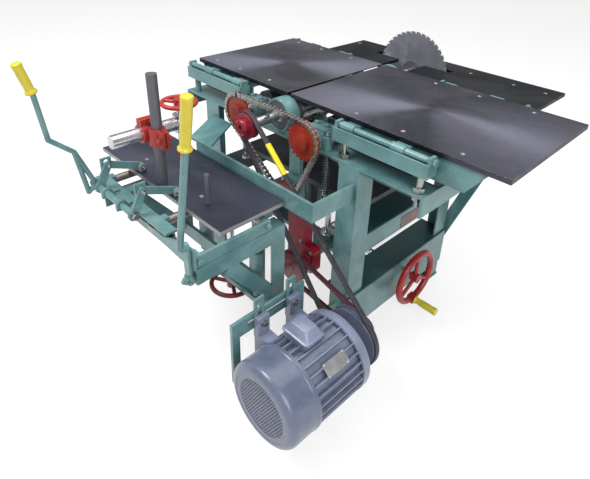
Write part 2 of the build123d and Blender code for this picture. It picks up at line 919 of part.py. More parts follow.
samples_per_turn = 24
sample_count = samples_per_turn * spring_turns
coil_samples = [coil.wire() @ (step / sample_count) for step in range(sample_count + 1)]
skip = samples_per_turn // 3
least_gap = min(
    (coil_samples[one] - coil_samples[two]).length - spring_wire
    for one in range(sample_count)
    for two in range(one + skip, min(one + 2 * samples_per_turn, sample_count + 1))
)
print(f"roller spring: least gap between turns {least_gap:.2f} mm")

with BuildPart() as roller_springs:
    spring_foot = rail_under - spring_length
    rear_y = table_width - spring_y
    with Locations(
        (-spring_x, spring_y, spring_foot),
        (spring_x, spring_y, spring_foot),
        (-spring_x, rear_y, spring_foot),
        (spring_x, rear_y, spring_foot),
    ):
        add(spring_form.part)

# Cast gearbox of the feed, hung from the front rail: a head round the slow shaft, a column below
# it, and a foot round the fast shaft
gearbox_forms = (
    ((drive_x - gearbox_head_half, drive_x + gearbox_head_half), gearbox_head_zs),
    ((gearbox_left, gearbox_right), gearbox_column_zs),
    ((gearbox_left, gearbox_foot_right), gearbox_foot_zs),
)
with BuildPart() as feed_gearbox:
    for xs, zs in gearbox_forms:
        with BuildSketch(Plane.XZ.offset(-gearbox_back)):
            with Locations((middle(xs), middle(zs))):
                RectangleRounded(xs[1] - xs[0], zs[1] - zs[0], gearbox_corner)
        extrude(amount=gearbox_back - gearbox_front)
    inner_ys = (gearbox_front + gearbox_wall, gearbox_back - gearbox_wall)
    for xs, zs in gearbox_forms:
        inner_xs = (xs[0] + gearbox_wall, xs[1] - gearbox_wall)
        block(inner_xs, inner_ys, (zs[0] + gearbox_wall, zs[1] - gearbox_wall), Mode.SUBTRACT)
    for x, z in ((drive_x, drive_z), (feed_pulley_x, feed_pulley_z)):
        boss_ys = (gearbox_front - gearbox_boss_length, gearbox_front + gearbox_wall)
        round_y(x, boss_ys, z, gearbox_boss)
        round_y(x, boss_ys, z, feed_shaft_radius + running, Mode.SUBTRACT)
    hanger_xs = (drive_x - gearbox_boss, drive_x + gearbox_boss)
    block(hanger_xs, (frame_front, gearbox_back), (gearbox_top, rail_under))

# Roller chain round the three sprockets, its rollers shown on the straight runs
chain_ring = pitch_radius(sprocket_teeth)
drive_ring = pitch_radius(drive_teeth)
chain_wheels = [
    (-roller_spacing, roller_z, chain_ring),
    (drive_x, drive_z, drive_ring),
    (roller_spacing, roller_z, chain_ring),
]


def straight_run(one, two):
    # The outer tangent from one wheel to the next, going round anticlockwise.
    distance = hypot(two[0] - one[0], two[1] - one[1])
    along = ((two[0] - one[0]) / distance, (two[1] - one[1]) / distance)
    lean = (one[2] - two[2]) / distance
    out = sqrt(1 - lean * lean)
    normal = (along[0] * lean + along[1] * out, along[1] * lean - along[0] * out)
    start = (one[0] + one[2] * normal[0], one[1] + one[2] * normal[1])
    end = (two[0] + two[2] * normal[0], two[1] + two[2] * normal[1])
    return start, end


with BuildPart() as feed_chain:
    for inner, outer in (
        (chain_plane - chain_outer_half, chain_plane - chain_inner_half),
        (chain_plane + chain_inner_half, chain_plane + chain_outer_half),
    ):
        loop_band(chain_wheels, chain_height / 2, (inner, outer))
    loop_ys = (chain_plane - chain_outer_half, chain_plane + chain_outer_half)
    loop_band(chain_wheels, -chain_height / 2, loop_ys, Mode.SUBTRACT)
    roller_ys = (chain_plane - chain_inner_half, chain_plane + chain_inner_half)
    for one, two in zip(chain_wheels, chain_wheels[1:] + chain_wheels[:1]):
        start, end = straight_run(one, two)
        run = hypot(end[0] - start[0], end[1] - start[1])
        for step in range(ceil((run - 2 * chain_entry) / chain_pitch)):
            share = (chain_entry + step * chain_pitch) / run
            roller_x = start[0] + (end[0] - start[0]) * share
            roller_height = start[1] + (end[1] - start[1]) * share
            round_y(roller_x, roller_ys, roller_height, chain_roller_radius)

with BuildPart() as main_belt:
    main_wheels = [(0, spindle_z, spindle_belt_radius), (motor_x, motor_z, motor_belt_radius)]
    belt(main_wheels, main_belt_height, main_belt_plane, main_belt_width)

with BuildPart() as feed_belt:
    feed_wheels = [
        (feed_pulley_x, feed_pulley_z, feed_pulley_belt_radius),
        (motor_x, motor_z, motor_feed_belt_radius),
    ]
    belt(feed_wheels, feed_belt_height, feed_belt_plane, feed_belt_width)

# Motor frame with cooling fins and two feet, hollow for the rotor
motor_fin_radius = motor_cowl_radius - motor_cowl_wall - narrow
motor_bore = motor_core_radius - motor_wall
with BuildPart() as motor_body:
    round_y(motor_x, (motor_back, motor_face), motor_z, motor_core_radius)
    round_y(motor_x, (motor_face, motor_nose), motor_z, motor_bore)
    fin_length = motor_face - motor_back
    fin_reach = motor_fin_radius - motor_core_radius + motor_wall / 2
    fin_middle = motor_fin_radius - fin_reach / 2
    core_middle = (motor_x, (motor_back + motor_face) / 2, motor_z)
    for fin in range(motor_fin_count):
        with Locations(Location(core_middle, (0, 360 * fin / motor_fin_count, 0))):
            with Locations((fin_middle, 0, 0)):
                Box(fin_reach, fin_length, motor_fin_thickness)
    foot_face = motor_x - motor_shaft_height
    for y in strap_places:
        foot_ys = (y - motor_foot_length / 2, y + motor_foot_length / 2)
        plate_xs = (foot_face, foot_face + motor_foot_thickness)
        block(plate_xs, foot_ys, (motor_z - motor_foot_half, motor_z + motor_foot_half))
        web_xs = (foot_face, motor_x - motor_bore)
        block(web_xs, foot_ys, (motor_z - motor_web_half, motor_z + motor_web_half))
    chamber = (motor_back + motor_end_wall, motor_face - motor_end_wall)
    round_y(motor_x, chamber, motor_z, motor_bore, Mode.SUBTRACT)
    round_y(motor_x, (motor_back, motor_nose), motor_z, motor_shaft_radius + running, Mode.SUBTRACT)

# Fan cowl with a round shoulder and rings of air holes in its face
with BuildPart() as motor_fan_cowl:
    cowl_ys = (motor_cowl_front, motor_back + motor_cowl_lap)
    round_y(motor_x, cowl_ys, motor_z, motor_cowl_radius)
    face_edge = edges().filter_by(GeomType.CIRCLE).sort_by(Axis.Y)[:1]
    fillet(face_edge, motor_cowl_round)
    offset(amount=-motor_cowl_wall, openings=faces().sort_by(Axis.Y)[-1])
    face_plane = Plane.XZ.offset(-motor_cowl_front - motor_cowl_wall)
    with BuildSketch(face_plane) as grille:
        with Locations((motor_x, motor_z)):
            for ring in range(cowl_first_ring, cowl_last_ring + 1):
                with PolarLocations(ring * cowl_ring_step, ring * cowl_holes_per_ring):
                    Circle(cowl_hole_radius)
    extrude(amount=motor_cowl_wall, mode=Mode.SUBTRACT)

# Terminal box that sits astride the motor's fins
with BuildPart() as motor_terminal_box:
    box_x = motor_x - terminal_box_inset
    box_xs = (box_x - terminal_box_width / 2, box_x + terminal_box_width / 2)
    box_ys = (terminal_box_y - terminal_box_length / 2, terminal_box_y + terminal_box_length / 2)
    box_top = motor_z + terminal_box_top
    block(box_xs, box_ys, (motor_z + terminal_box_foot, box_top - terminal_box_lid))
    fillet(edges().filter_by(Axis.Z), terminal_box_round)
    lid_xs = (box_xs[0] - terminal_lid_margin, box_xs[1] + terminal_lid_margin)
    lid_ys = (box_ys[0] - terminal_lid_margin, box_ys[1] + terminal_lid_margin)
    block(lid_xs, lid_ys, (box_top - terminal_box_lid, box_top))
    fillet(faces().sort_by(Axis.Z)[-1].edges(), terminal_lid_round)
    round_y(motor_x, (motor_back, motor_face), motor_z, motor_fin_radius + seated, Mode.SUBTRACT)

# Slotted bar, two slotted straps, posts and the arm that ties the motor to the frame
with BuildPart() as motor_mount:
    bar_xs = (mount_right - mount_bar_thickness, mount_right)
    bar_zs = (motor_z + mount_bar_top - mount_bar_height, motor_z + mount_bar_top)
    block(bar_xs, (mount_bar_front, mount_bar_back), bar_zs)
    arm_bottom = motor_z + mount_arm_top - mount_arm_height
    front_post = (mount_bar_front - mount_post_width, mount_bar_front)
    rear_post = (mount_bar_back - mount_post_width, mount_bar_back)
    for post in (front_post, rear_post):
        block(bar_xs, post, (arm_bottom, bar_zs[1]))
    block(bar_xs, (front_post[0], frame_front), (arm_bottom, arm_bottom + mount_arm_height))
    slot_half = mount_slot_width / 2
    slot_zs = (middle(bar_zs) - slot_half, middle(bar_zs) + slot_half)
    slot_ys = (mount_bar_front + mount_post_width, rear_post[0] - mount_post_width)
    slot_through_x(bar_xs, slot_ys, slot_zs)
    strap_xs = (mount_right, mount_right + strap_thickness)
    strap_zs = (motor_z + strap_bottom, motor_z + strap_top)
    for y in strap_places:
        block(strap_xs, (y - strap_width / 2, y + strap_width / 2), strap_zs)
        opening = (strap_zs[0] + mount_slot_width, strap_zs[1] - mount_slot_width)
        slot_through_x(strap_xs, (y - slot_half, y + slot_half), opening)

# Nuts above and below the rail on the infeed table's jacking studs
with BuildPart() as jack_nuts:
    for rear in (False, True):
        y = middle(across(slide_rod_y, slide_rod_y, rear))
        for x in jack_places:
            for foot in (rail_top, rail_under - jack_nut_height):
                with BuildSketch(Plane((x, y, foot))):
                    RegularPolygon(jack_nut_width / 2, 6, major_radius=False)
                    Circle(jack_radius + running, mode=Mode.SUBTRACT)
                extrude(amount=jack_nut_height)

# Bracket and hinge bar of the saw table, and the clamp bolt of its strut
strut_ys = (saw_table_front + strut_inset, saw_table_front + strut_inset + strut_thickness)
with BuildPart() as saw_table_supports:
    bracket_xs = (hinge_x - hinge_bracket_width / 2, hinge_x + hinge_bracket_width / 2)
    bracket_top = hinge_z + hinge_radius
    plate_back = frame_rear + hinge_bracket_thickness
    block(bracket_xs, (frame_rear, plate_back), (bracket_top - hinge_bracket_depth, bracket_top))
    round_y(hinge_x, (plate_back, saw_table_front + saw_table_depth), hinge_z, hinge_radius)
    round_y(strut_bolt_x, (frame_rear, strut_ys[1] + strut_nut_height), strut_bolt_z, strut_bolt_radius)
    nut_ys = (strut_ys[1] + narrow, strut_ys[1] + strut_nut_height)
    round_y(strut_bolt_x, nut_ys, strut_bolt_z, strut_nut_radius)


def slide_beam(xs, rear):
    # An open trough closed at each end, where a lug holds the slide rod above it.
    ys = across(-beam_gap - beam_width, -beam_gap, rear)
    inside = (ys[0] + beam_wall, ys[1] - beam_wall)
    block(xs, ys, (beam_bottom, beam_top))
    block(xs, inside, (beam_bottom + beam_wall, beam_top), Mode.SUBTRACT)
    lug_ys = (middle(ys) - sleeve_radius, middle(ys) + sleeve_radius)
    for end in ((xs[0], xs[0] + beam_end), (xs[1] - beam_end, xs[1])):
        block(end, ys, (beam_bottom, beam_top))
        block(end, lug_ys, (beam_top, slide_rod_z + sleeve_radius))
    round_x(xs, middle(ys), slide_rod_z, slide_rod_radius)


def table_skirts(start, end, sleeves):
    # Plates under a table's long edges, with lugs and sleeves that ride on the slide rods.
    bottom = table_under - skirt_depth
    slant = skirt_slant if end > start else -skirt_slant
    side = [(start, table_under), (end, table_under), (end - slant, bottom), (start, bottom)]
    for rear in (False, True):
        outline_y(side, across(skirt_inset, skirt_inset + skirt_thickness, rear))
        rod_y = middle(across(slide_rod_y, slide_rod_y, rear))
        for x in sleeves:
            xs = (x - sleeve_length / 2, x + sleeve_length / 2)
            lug_ys = across(slide_rod_y, skirt_inset, rear)
            block(xs, lug_ys, (beam_top + passing, table_under - narrow))
            round_x(xs, rod_y, slide_rod_z, sleeve_radius)
            round_x(xs, rod_y, slide_rod_z, slide_rod_radius + running, Mode.SUBTRACT)


with BuildPart() as outfeed_beams:
    for rear in (False, True):
        slide_beam((-outfeed_beam_far, -outfeed_beam_near), rear)
        for x in outfeed_feet:
            stud_y = middle(across(slide_rod_y, slide_rod_y, rear))
            round_z(x, stud_y, (rail_top, beam_bottom), beam_stud_radius)

with BuildPart() as infeed_beams:
    for rear in (False, True):
        slide_beam((beam_near, infeed_beam_far), rear)
        for x in jack_places:
            y = middle(across(slide_rod_y, slide_rod_y, rear))
            round_z(x, y, (rail_under - jack_below_rail, beam_bottom), jack_radius)

with BuildPart() as infeed_table:
    outline_y(
        [
            (lip_reach, table_top),
            (lip_reach + infeed_length, table_top),
            (lip_reach + infeed_length, table_under),
            (lip_reach + lip_bevel, table_under),
            (lip_reach, table_top - lip_thickness),
        ],
        (0, table_width),
    )

with BuildPart() as outfeed_table:
    outline_y(
        [
            (-lip_reach, table_top),
            (-lip_reach - outfeed_length, table_top),
            (-lip_reach - outfeed_length, table_under),
            (-lip_reach - lip_bevel, table_under),
            (-lip_reach, table_top - lip_thickness),
        ],
        (0, table_width),
    )

with BuildPart() as infeed_skirts:
    table_skirts(skirt_start, infeed_skirt_end, infeed_sleeves)

with BuildPart() as outfeed_skirts:
    table_skirts(-skirt_start + sleeve_length, -outfeed_skirt_end, outfeed_sleeves)

# Cutterblock with its journals, its nose for the pulley, and its tail for the saw
block_ys = (block_inset, block_inset + block_length)
chuck_back = main_belt_plane - pulley_half
chuck_front = chuck_back - chuck_length
nose_front = chuck_back + chuck_shank
tail_end = blade_y + blade_thickness / 2 + saw_flange_thickness + saw_nut_height
slot_width = knife_thickness + wedge_thickness
with BuildPart() as cutterblock:
    round_y(0, block_ys, spindle_z, block_radius)
    for knife in range(knife_count):
        with Locations(Location((0, middle(block_ys), spindle_z), (0, 360 * knife / knife_count, 0))):
            with Locations((wedge_thickness / 2, 0, block_radius - knife_height / 2)):
                Box(slot_width, block_length, knife_height, mode=Mode.SUBTRACT)
    round_y(0, (journal_end, table_width - journal_end), spindle_z, journal_radius)
    round_y(0, (nose_front, tail_end), spindle_z, nose_radius)

# Knives in the cutterblock's slots, each held by a wedge bar
with BuildPart() as planer_knives:
    slot_floor = block_radius - knife_height
    for knife in range(knife_count):
        with Locations(Location((0, middle(block_ys), spindle_z), (0, 360 * knife / knife_count, 0))):
            with Locations((0, 0, slot_floor + (knife_height + knife_reach) / 2)):
                Box(knife_thickness, block_length, knife_height + knife_reach)
            wedge_x = (knife_thickness + wedge_thickness) / 2
            with Locations((wedge_x, 0, slot_floor + wedge_height / 2)):
                Box(wedge_thickness, block_length, wedge_height)

with BuildPart() as spindle_pulley:
    nose_bore = nose_radius + seated
    grooved_pulley(
        0, spindle_z, main_belt_plane, spindle_belt_radius, main_belt_height, main_belt_width, nose_bore
    )

# Chuck whose shank sits in the pulley's bore, against the nose
with BuildPart() as mortise_chuck:
    round_y(0, (chuck_front, chuck_back), spindle_z, chuck_radius)
    rim = edges().filter_by(GeomType.CIRCLE).sort_by(Axis.Y)[:1]
    chamfer(rim, chuck_chamfer)
    round_y(0, (chuck_back, nose_front), spindle_z, nose_radius)
    round_y(0, (chuck_front, nose_front), spindle_z, chuck_bore, Mode.SUBTRACT)

# Saw blade with saw teeth round its rim
with BuildPart() as saw_blade:
    with BuildSketch(Plane.XZ.offset(-blade_y - blade_thickness / 2)):
        with Locations((0, spindle_z)):
            Circle(blade_radius)
            with PolarLocations(blade_radius, blade_teeth):
                gullet = [(passing, -passing), (-blade_gullet, -passing), (passing, blade_gullet)]
                with BuildLine():
                    Polyline(*gullet, close=True)
                make_face(mode=Mode.SUBTRACT)
            Circle(nose_radius + seated, mode=Mode.SUBTRACT)
    extrude(amount=blade_thickness)

with BuildPart() as saw_flanges:
    blade_ys = (blade_y - blade_thickness / 2, blade_y + blade_thickness / 2)
    for ys in (
        (blade_ys[0] - saw_flange_thickness, blade_ys[0]),
        (blade_ys[1], blade_ys[1] + saw_flange_thickness),
    ):
        round_y(0, ys, spindle_z, saw_flange_radius)
    with BuildSketch(Plane.XZ.offset(-tail_end)):
        with Locations((0, spindle_z)):
            RegularPolygon(saw_nut_width / 2, 6, major_radius=False)
    extrude(amount=saw_nut_height)
    bore_ys = (blade_ys[0] - saw_flange_thickness, tail_end)
    round_y(0, bore_ys, spindle_z, nose_radius + seated, Mode.SUBTRACT)

# Motor shaft with the rotor and the cooling fan
shaft_back = motor_cowl_front + motor_cowl_wall + fan_width / 2
shaft_front = feed_belt_plane + feed_pulley_half
with BuildPart() as motor_shaft:
    round_y(motor_x, (shaft_back, shaft_front), motor_z, motor_shaft_radius)
    core_ys = (chamber[0] + motor_end_wall, chamber[1] - motor_end_wall)
    round_y(motor_x, core_ys, motor_z, motor_bore - rotor_gap)
    fan_ys = (shaft_back, shaft_back + fan_width)
    round_y(motor_x, (fan_ys[1] - motor_cowl_wall, fan_ys[1]), motor_z, fan_radius)
    for blade in range(fan_blades):
        with Locations(Location((motor_x, middle(fan_ys), motor_z), (0, 360 * blade / fan_blades, 0))):
            with Locations((fan_radius / 2, 0, 0)):
                Box(fan_radius, fan_width, motor_cowl_wall)

# Two-step motor pulley: the large step drives the spindle, the small one the feed
with BuildPart() as motor_pulley:
    shaft_bore = motor_shaft_radius + seated
    step_ys = (main_belt_plane, feed_belt_plane)
    round_y(motor_x, step_ys, motor_z, motor_feed_belt_radius - narrow)
    grooved_pulley(
        motor_x, motor_z, main_belt_plane, motor_belt_radius, main_belt_height, main_belt_width, shaft_bore
    )
    grooved_pulley(
        motor_x,
        motor_z,
        feed_belt_plane,
        motor_feed_belt_radius,
        feed_belt_height,
        feed_belt_width,
        shaft_bore,
    )
    round_y(motor_x, step_ys, motor_z, shaft_bore, Mode.SUBTRACT)


def feed_roller(x):
    # A fluted roller on a shaft that runs through both bearing blocks to the chain.
    round_y(x, (roller_start, table_width - roller_start), roller_z, roller_radius)
    shaft_start = chain_plane - sprocket_thickness / 2 - sprocket_hub_length
    round_y(x, (shaft_start, table_width - roller_block_front), roller_z, roller_shaft_radius)


def roller_sprocket(x):
    bore = roller_shaft_radius + seated
    sprocket(x, roller_z, sprocket_teeth, bore)
    hub_ys = (chain_plane - sprocket_thickness / 2 - sprocket_hub_length, chain_plane)
    round_y(x, hub_ys, roller_z, sprocket_hub_radius)
    round_y(x, (hub_ys[0], chain_plane + sprocket_thickness), roller_z, bore, Mode.SUBTRACT)


with BuildPart() as infeed_roller:
    feed_roller(roller_spacing)

with BuildPart() as outfeed_roller:
    feed_roller(-roller_spacing)

with BuildPart() as infeed_sprocket:
    roller_sprocket(roller_spacing)

with BuildPart() as outfeed_sprocket:
    roller_sprocket(-roller_spacing)

# Drive sprocket on the gearbox's slow shaft, with its gear inside the casing
gear_ys = (middle(inner_ys) - gear_thickness / 2, middle(inner_ys) + gear_thickness / 2)
with BuildPart() as drive_sprocket:
    sprocket(drive_x, drive_z, drive_teeth, feed_shaft_radius - narrow)
    sprocket_front = chain_plane - sprocket_thickness / 2
    round_y(drive_x, (sprocket_front - passing, gear_ys[1]), drive_z, feed_shaft_radius)
    round_y(drive_x, gear_ys, drive_z, gear_radius)

# Feed pulley on the gearbox's fast shaft
with BuildPart() as feed_pulley:
    grooved_pulley(
        feed_pulley_x,
        feed_pulley_z,
        feed_belt_plane,
        feed_pulley_belt_radius,
        feed_belt_height,
        feed_belt_width,
        feed_shaft_radius - narrow,
    )
    pulley_front = feed_belt_plane - feed_pulley_half
    round_y(feed_pulley_x, (pulley_front - passing, gear_ys[1]), feed_pulley_z, feed_shaft_radius)
    round_y(feed_pulley_x, gear_ys, feed_pulley_z, feed_gear_radius)

# Thicknesser bed with sleeves on the guide posts and the nut of the lifting screw
bed_under = bed_top - bed_thickness
with BuildPart() as thicknesser_bed:
    block((bed_left, bed_right), (bed_front, bed_back), (bed_under, bed_top))
    boss_zs = (bed_under - bed_boss_length, bed_under)
    for y in (bed_y - bed_post_spread, bed_y + bed_post_spread):
        round_z(bed_x, y, boss_zs, bed_boss_radius)
        round_z(bed_x, y, boss_zs, bed_post_radius + running, Mode.SUBTRACT)
    round_z(bed_x, bed_y, boss_zs, bed_boss_radius)
    round_z(bed_x, bed_y, boss_zs, bed_screw_radius + running, Mode.SUBTRACT)


def mitre_cone(plane):
    # A mitre gear blank whose cone points at the crossing of the two shafts.
    with Locations(plane):
        Cone(
            mitre_outer - mitre_gap,
            mitre_inner - mitre_gap,
            mitre_outer - mitre_inner,
            align=(Align.CENTER, Align.CENTER, Align.MIN),
        )


with BuildPart() as bed_screw:
    collar_bottom = thrust_top + narrow
    mitre_bottom = crank_shaft_z - mitre_outer
    round_z(bed_x, bed_y, (plate_top + narrow, collar_bottom), bed_pivot_radius)
    round_z(bed_x, bed_y, (collar_bottom, mitre_bottom), bed_collar_radius)
    mitre_cone(Plane((bed_x, bed_y, mitre_bottom)))
    round_z(bed_x, bed_y, (mitre_bottom, bed_post_top), bed_screw_radius)

# Crank shaft with its mitre gear and handwheel
with BuildPart() as bed_handwheel:
    mitre_back = bed_x + mitre_outer
    mitre_cone(Plane((mitre_back, bed_y, crank_shaft_z), z_dir=(-1, 0, 0)))
    mitre_front = bed_x + mitre_inner
    round_x((mitre_front, crank_wheel_x), bed_y, crank_shaft_z, crank_shaft_radius)
    handwheel(
        Plane((crank_wheel_x, bed_y, crank_shaft_z), x_dir=(0, 1, 0), z_dir=(1, 0, 0)),
        crank_wheel_radius,
        crank_rim_radius,
        crank_spokes,
        crank_spoke_radius,
        crank_hub_radius,
        crank_hub_length,
    )
    pin_z = crank_shaft_z - crank_wheel_radius
    grip_start = crank_wheel_x + crank_grip_start
    grip_end = grip_start + crank_grip_length
    pin_end = grip_end - crank_grip_radius
    boss_xs = (crank_wheel_x - crank_rim_radius - passing, crank_wheel_x + crank_rim_radius + passing)
    boss_ys = (bed_y - crank_boss_half, bed_y + crank_boss_half)
    block(boss_xs, boss_ys, (pin_z - crank_boss_half, pin_z + crank_boss_half))
    round_x((boss_xs[1] - narrow, pin_end), bed_y, pin_z, crank_pin_radius)

with BuildPart() as bed_crank_grip:
    round_x((grip_start, grip_end), bed_y, pin_z, crank_grip_radius)
    fillet(edges().filter_by(GeomType.CIRCLE), crank_grip_round)
    round_x((grip_start, pin_end + passing), bed_y, pin_z, crank_pin_radius + running, Mode.SUBTRACT)

# Saw table with a notch for the spindle, a slot for the blade, hinge knuckles and a lug for the strut
strut_top_z = saw_table_under - strut_drop
with BuildPart() as saw_table:
    saw_table_ys = (saw_table_front, saw_table_front + saw_table_depth)
    plate_zs = (saw_table_under, saw_table_z)
    block((saw_table_left, saw_table_right), saw_table_ys, plate_zs)
    notch_ys = (saw_table_front, saw_table_front + saw_notch_depth)
    block((-saw_notch_half, saw_notch_half), notch_ys, plate_zs, Mode.SUBTRACT)
    slot_ys = (blade_y - blade_slot_half, blade_y + blade_slot_half)
    block((-blade_slot_reach, blade_slot_reach), slot_ys, plate_zs, Mode.SUBTRACT)
    for start in hinge_knuckle_places:
        knuckle_ys = (saw_table_front + start, saw_table_front + start + hinge_knuckle_length)
        knuckle_xs = (hinge_x - hinge_knuckle_radius, hinge_x + hinge_knuckle_radius)
        round_y(hinge_x, knuckle_ys, hinge_z, hinge_knuckle_radius)
        block(knuckle_xs, knuckle_ys, (hinge_z, saw_table_under))
        round_y(hinge_x, knuckle_ys, hinge_z, hinge_radius + running, Mode.SUBTRACT)
    strut_lug_ys = (strut_ys[1] + narrow, strut_ys[1] + narrow + strut_lug_thickness)
    strut_lug_xs = (strut_top_x - strut_lug_half, strut_top_x + strut_lug_half)
    block(strut_lug_xs, strut_lug_ys, (strut_top_z, saw_table_under))
    round_y(strut_top_x, strut_lug_ys, strut_top_z, strut_lug_half)
    round_y(strut_top_x, (strut_ys[0], strut_lug_ys[1]), strut_top_z, strut_pin_radius)

# Slotted strut from the saw table down to the clamp bolt on the leg
with BuildPart() as saw_strut:
    strut_run = Vector(strut_bolt_x - strut_top_x, 0, strut_bolt_z - strut_top_z)
    strut_plane = Plane((strut_top_x, strut_ys[1], strut_top_z), x_dir=strut_run, z_dir=(0, -1, 0))
    slot_start = strut_run.length
    slot_radius = strut_bolt_radius + strut_slot_clearance
    with BuildSketch(strut_plane):
        with Locations(((slot_start + strut_tail) / 2, 0)):
            SlotCenterToCenter(slot_start + strut_tail, strut_width)
        Circle(strut_pin_radius + running, mode=Mode.SUBTRACT)
        with Locations((slot_start + strut_slot_travel / 2, 0)):
            SlotCenterToCenter(strut_slot_travel, 2 * slot_radius, mode=Mode.SUBTRACT)
    extrude(amount=strut_thickness)

# Knee of the mortiser: two braced angle arms, the right one with a raised edge, sleeves on the
# guide posts and two cross rods
traverse_pivot_z = knee_top - traverse_pivot_drop
with BuildPart() as knee:
    for side in (-1, 1):
        web_xs = tuple(sorted((side * (knee_half - steel), side * knee_half)))
        flange_xs = tuple(sorted((side * (knee_half - knee_angle), side * knee_half)))
        block(flange_xs, (knee_front, knee_back), (knee_top - steel, knee_top))
        block(web_xs, (knee_front, knee_back), (knee_top - knee_angle, knee_top))
        block(web_xs, (knee_back - knee_angle, knee_back), (knee_bottom, knee_top))
        brace = strip((brace_front, knee_top - knee_angle), (brace_back, knee_bottom + steel), brace_width)
        outline_x(brace, web_xs)
        bracket_inner = rod_bracket_outer - rod_bracket_width
        bracket_xs = tuple(sorted((side * bracket_inner, side * rod_bracket_outer)))
        for y in (front_rod_y, rear_rod_y):
            half = cross_rod_radius
            bracket_zs = (knee_top, cross_rod_z + cross_rod_radius + rod_bracket_wall)
            block(bracket_xs, (y - half, y + half), bracket_zs)
        round_z(side * guide_spread, guide_y, (knee_sleeve_bottom, knee_sleeve_top), knee_sleeve_radius)
    for y in (front_rod_y, rear_rod_y):
        round_x((-rod_bracket_outer, rod_bracket_outer), y, cross_rod_z, cross_rod_radius)
    raised_ys = (front_rod_y - cross_rod_radius, rear_rod_y + cross_rod_radius)
    block((rod_bracket_outer, knee_half - raised_inset), raised_ys, bracket_zs)
    beam_zs = (knee_bottom, knee_bottom + knee_beam_height)
    block((-knee_half, knee_half), (knee_beam_y, knee_beam_y + knee_beam_thickness), beam_zs)
    round_z(0, guide_y, beam_zs, knee_sleeve_radius)
    for x in (-guide_spread, guide_spread):
        sleeve_zs = (knee_sleeve_bottom, knee_sleeve_top)
        round_z(x, guide_y, sleeve_zs, guide_radius + running, Mode.SUBTRACT)
    round_z(0, guide_y, beam_zs, lift_screw_radius + running, Mode.SUBTRACT)
    pivot_back = front_rod_y + cross_rod_radius
    pivot_half = traverse_hub_radius
    pivot_xs = (traverse_pivot_x - pivot_half, traverse_pivot_x + pivot_half)
    block(pivot_xs, (knee_front, pivot_back), (traverse_pivot_z - pivot_half, knee_top))
    flat_back = knee_front - drive_plate_gap - drive_plate_thickness - drive_plate_gap
    flat_front = flat_back - traverse_flat
    round_y(traverse_pivot_x, (flat_front, pivot_back), traverse_pivot_z, traverse_pin_radius)

# Carriage that slides along the cross rods and carries the plunge rods and the rock shaft
follower_x = traverse_pivot_x
follower_z = traverse_pivot_z + traverse_arm_length
follower_drop = traverse_arm_length - sqrt(traverse_arm_length**2 - traverse_travel**2)
with BuildPart() as carriage:
    sleeve_xs = (carriage_left, carriage_right)
    for y in (front_rod_y, rear_rod_y):
        round_x(sleeve_xs, y, cross_rod_z, carriage_sleeve_radius)
        bar_ys = (y - carriage_sleeve_radius, y + carriage_sleeve_radius)
        bar_zs = (carriage_bar_z, carriage_bar_z + carriage_bar_thickness)
        block((carriage_bar_left, carriage_bar_right), bar_ys, bar_zs)
        block(sleeve_xs, (y - cross_rod_radius, y + cross_rod_radius), (cross_rod_z, carriage_bar_z))
    rod_front = front_rod_y + carriage_sleeve_radius - passing
    rod_back = rear_rod_y - carriage_sleeve_radius + passing
    for x in plunge_rod_places:
        round_y(x, (rod_front, rod_back), plunge_rod_z, plunge_rod_radius)
        hanger_xs = (x - plunge_rod_radius, x + plunge_rod_radius)
        for end, way in ((rod_front, 1), (rod_back, -1)):
            block(hanger_xs, inward(end, way, rod_hanger_length), (plunge_rod_z, bar_zs[1]))
    for y in (front_rod_y, rear_rod_y):
        round_x(sleeve_xs, y, cross_rod_z, cross_rod_radius + running, Mode.SUBTRACT)
    for x in rock_lug_places:
        lug_xs = (x - rock_lug_thickness / 2, x + rock_lug_thickness / 2)
        lug_ys = (rock_y - rock_lug_half, front_rod_y)
        block(lug_xs, lug_ys, (carriage_bar_z, rock_z))
        round_x(lug_xs, rock_y, rock_z, rock_lug_half)
        round_x(lug_xs, rock_y, rock_z, rock_radius + running, Mode.SUBTRACT)
    plate_back = knee_front - drive_plate_gap
    plate_ys = (plate_back - drive_plate_thickness, plate_back)
    slot_half = traverse_follower_radius + traverse_slot_clearance
    slot_zs = (follower_z - follower_drop - slot_half, follower_z + slot_half)
    plate_half = slot_half + drive_plate_side
    plate_zs = (slot_zs[0] - drive_plate_end, slot_zs[1] + drive_plate_end)
    outline_y(
        [
            (drive_plate_start, cross_rod_z + cross_rod_radius),
            (carriage_right, cross_rod_z + cross_rod_radius),
            (follower_x - plate_half, plate_zs[1]),
            (follower_x + plate_half, plate_zs[1]),
            (follower_x + plate_half, plate_zs[0]),
            (follower_x - plate_half, plate_zs[0]),
            (carriage_right, cross_rod_z - cross_rod_radius),
            (drive_plate_start, cross_rod_z - cross_rod_radius),
        ],
        plate_ys,
    )
    slot_through_y((follower_x - slot_half, follower_x + slot_half), plate_ys, slot_zs)

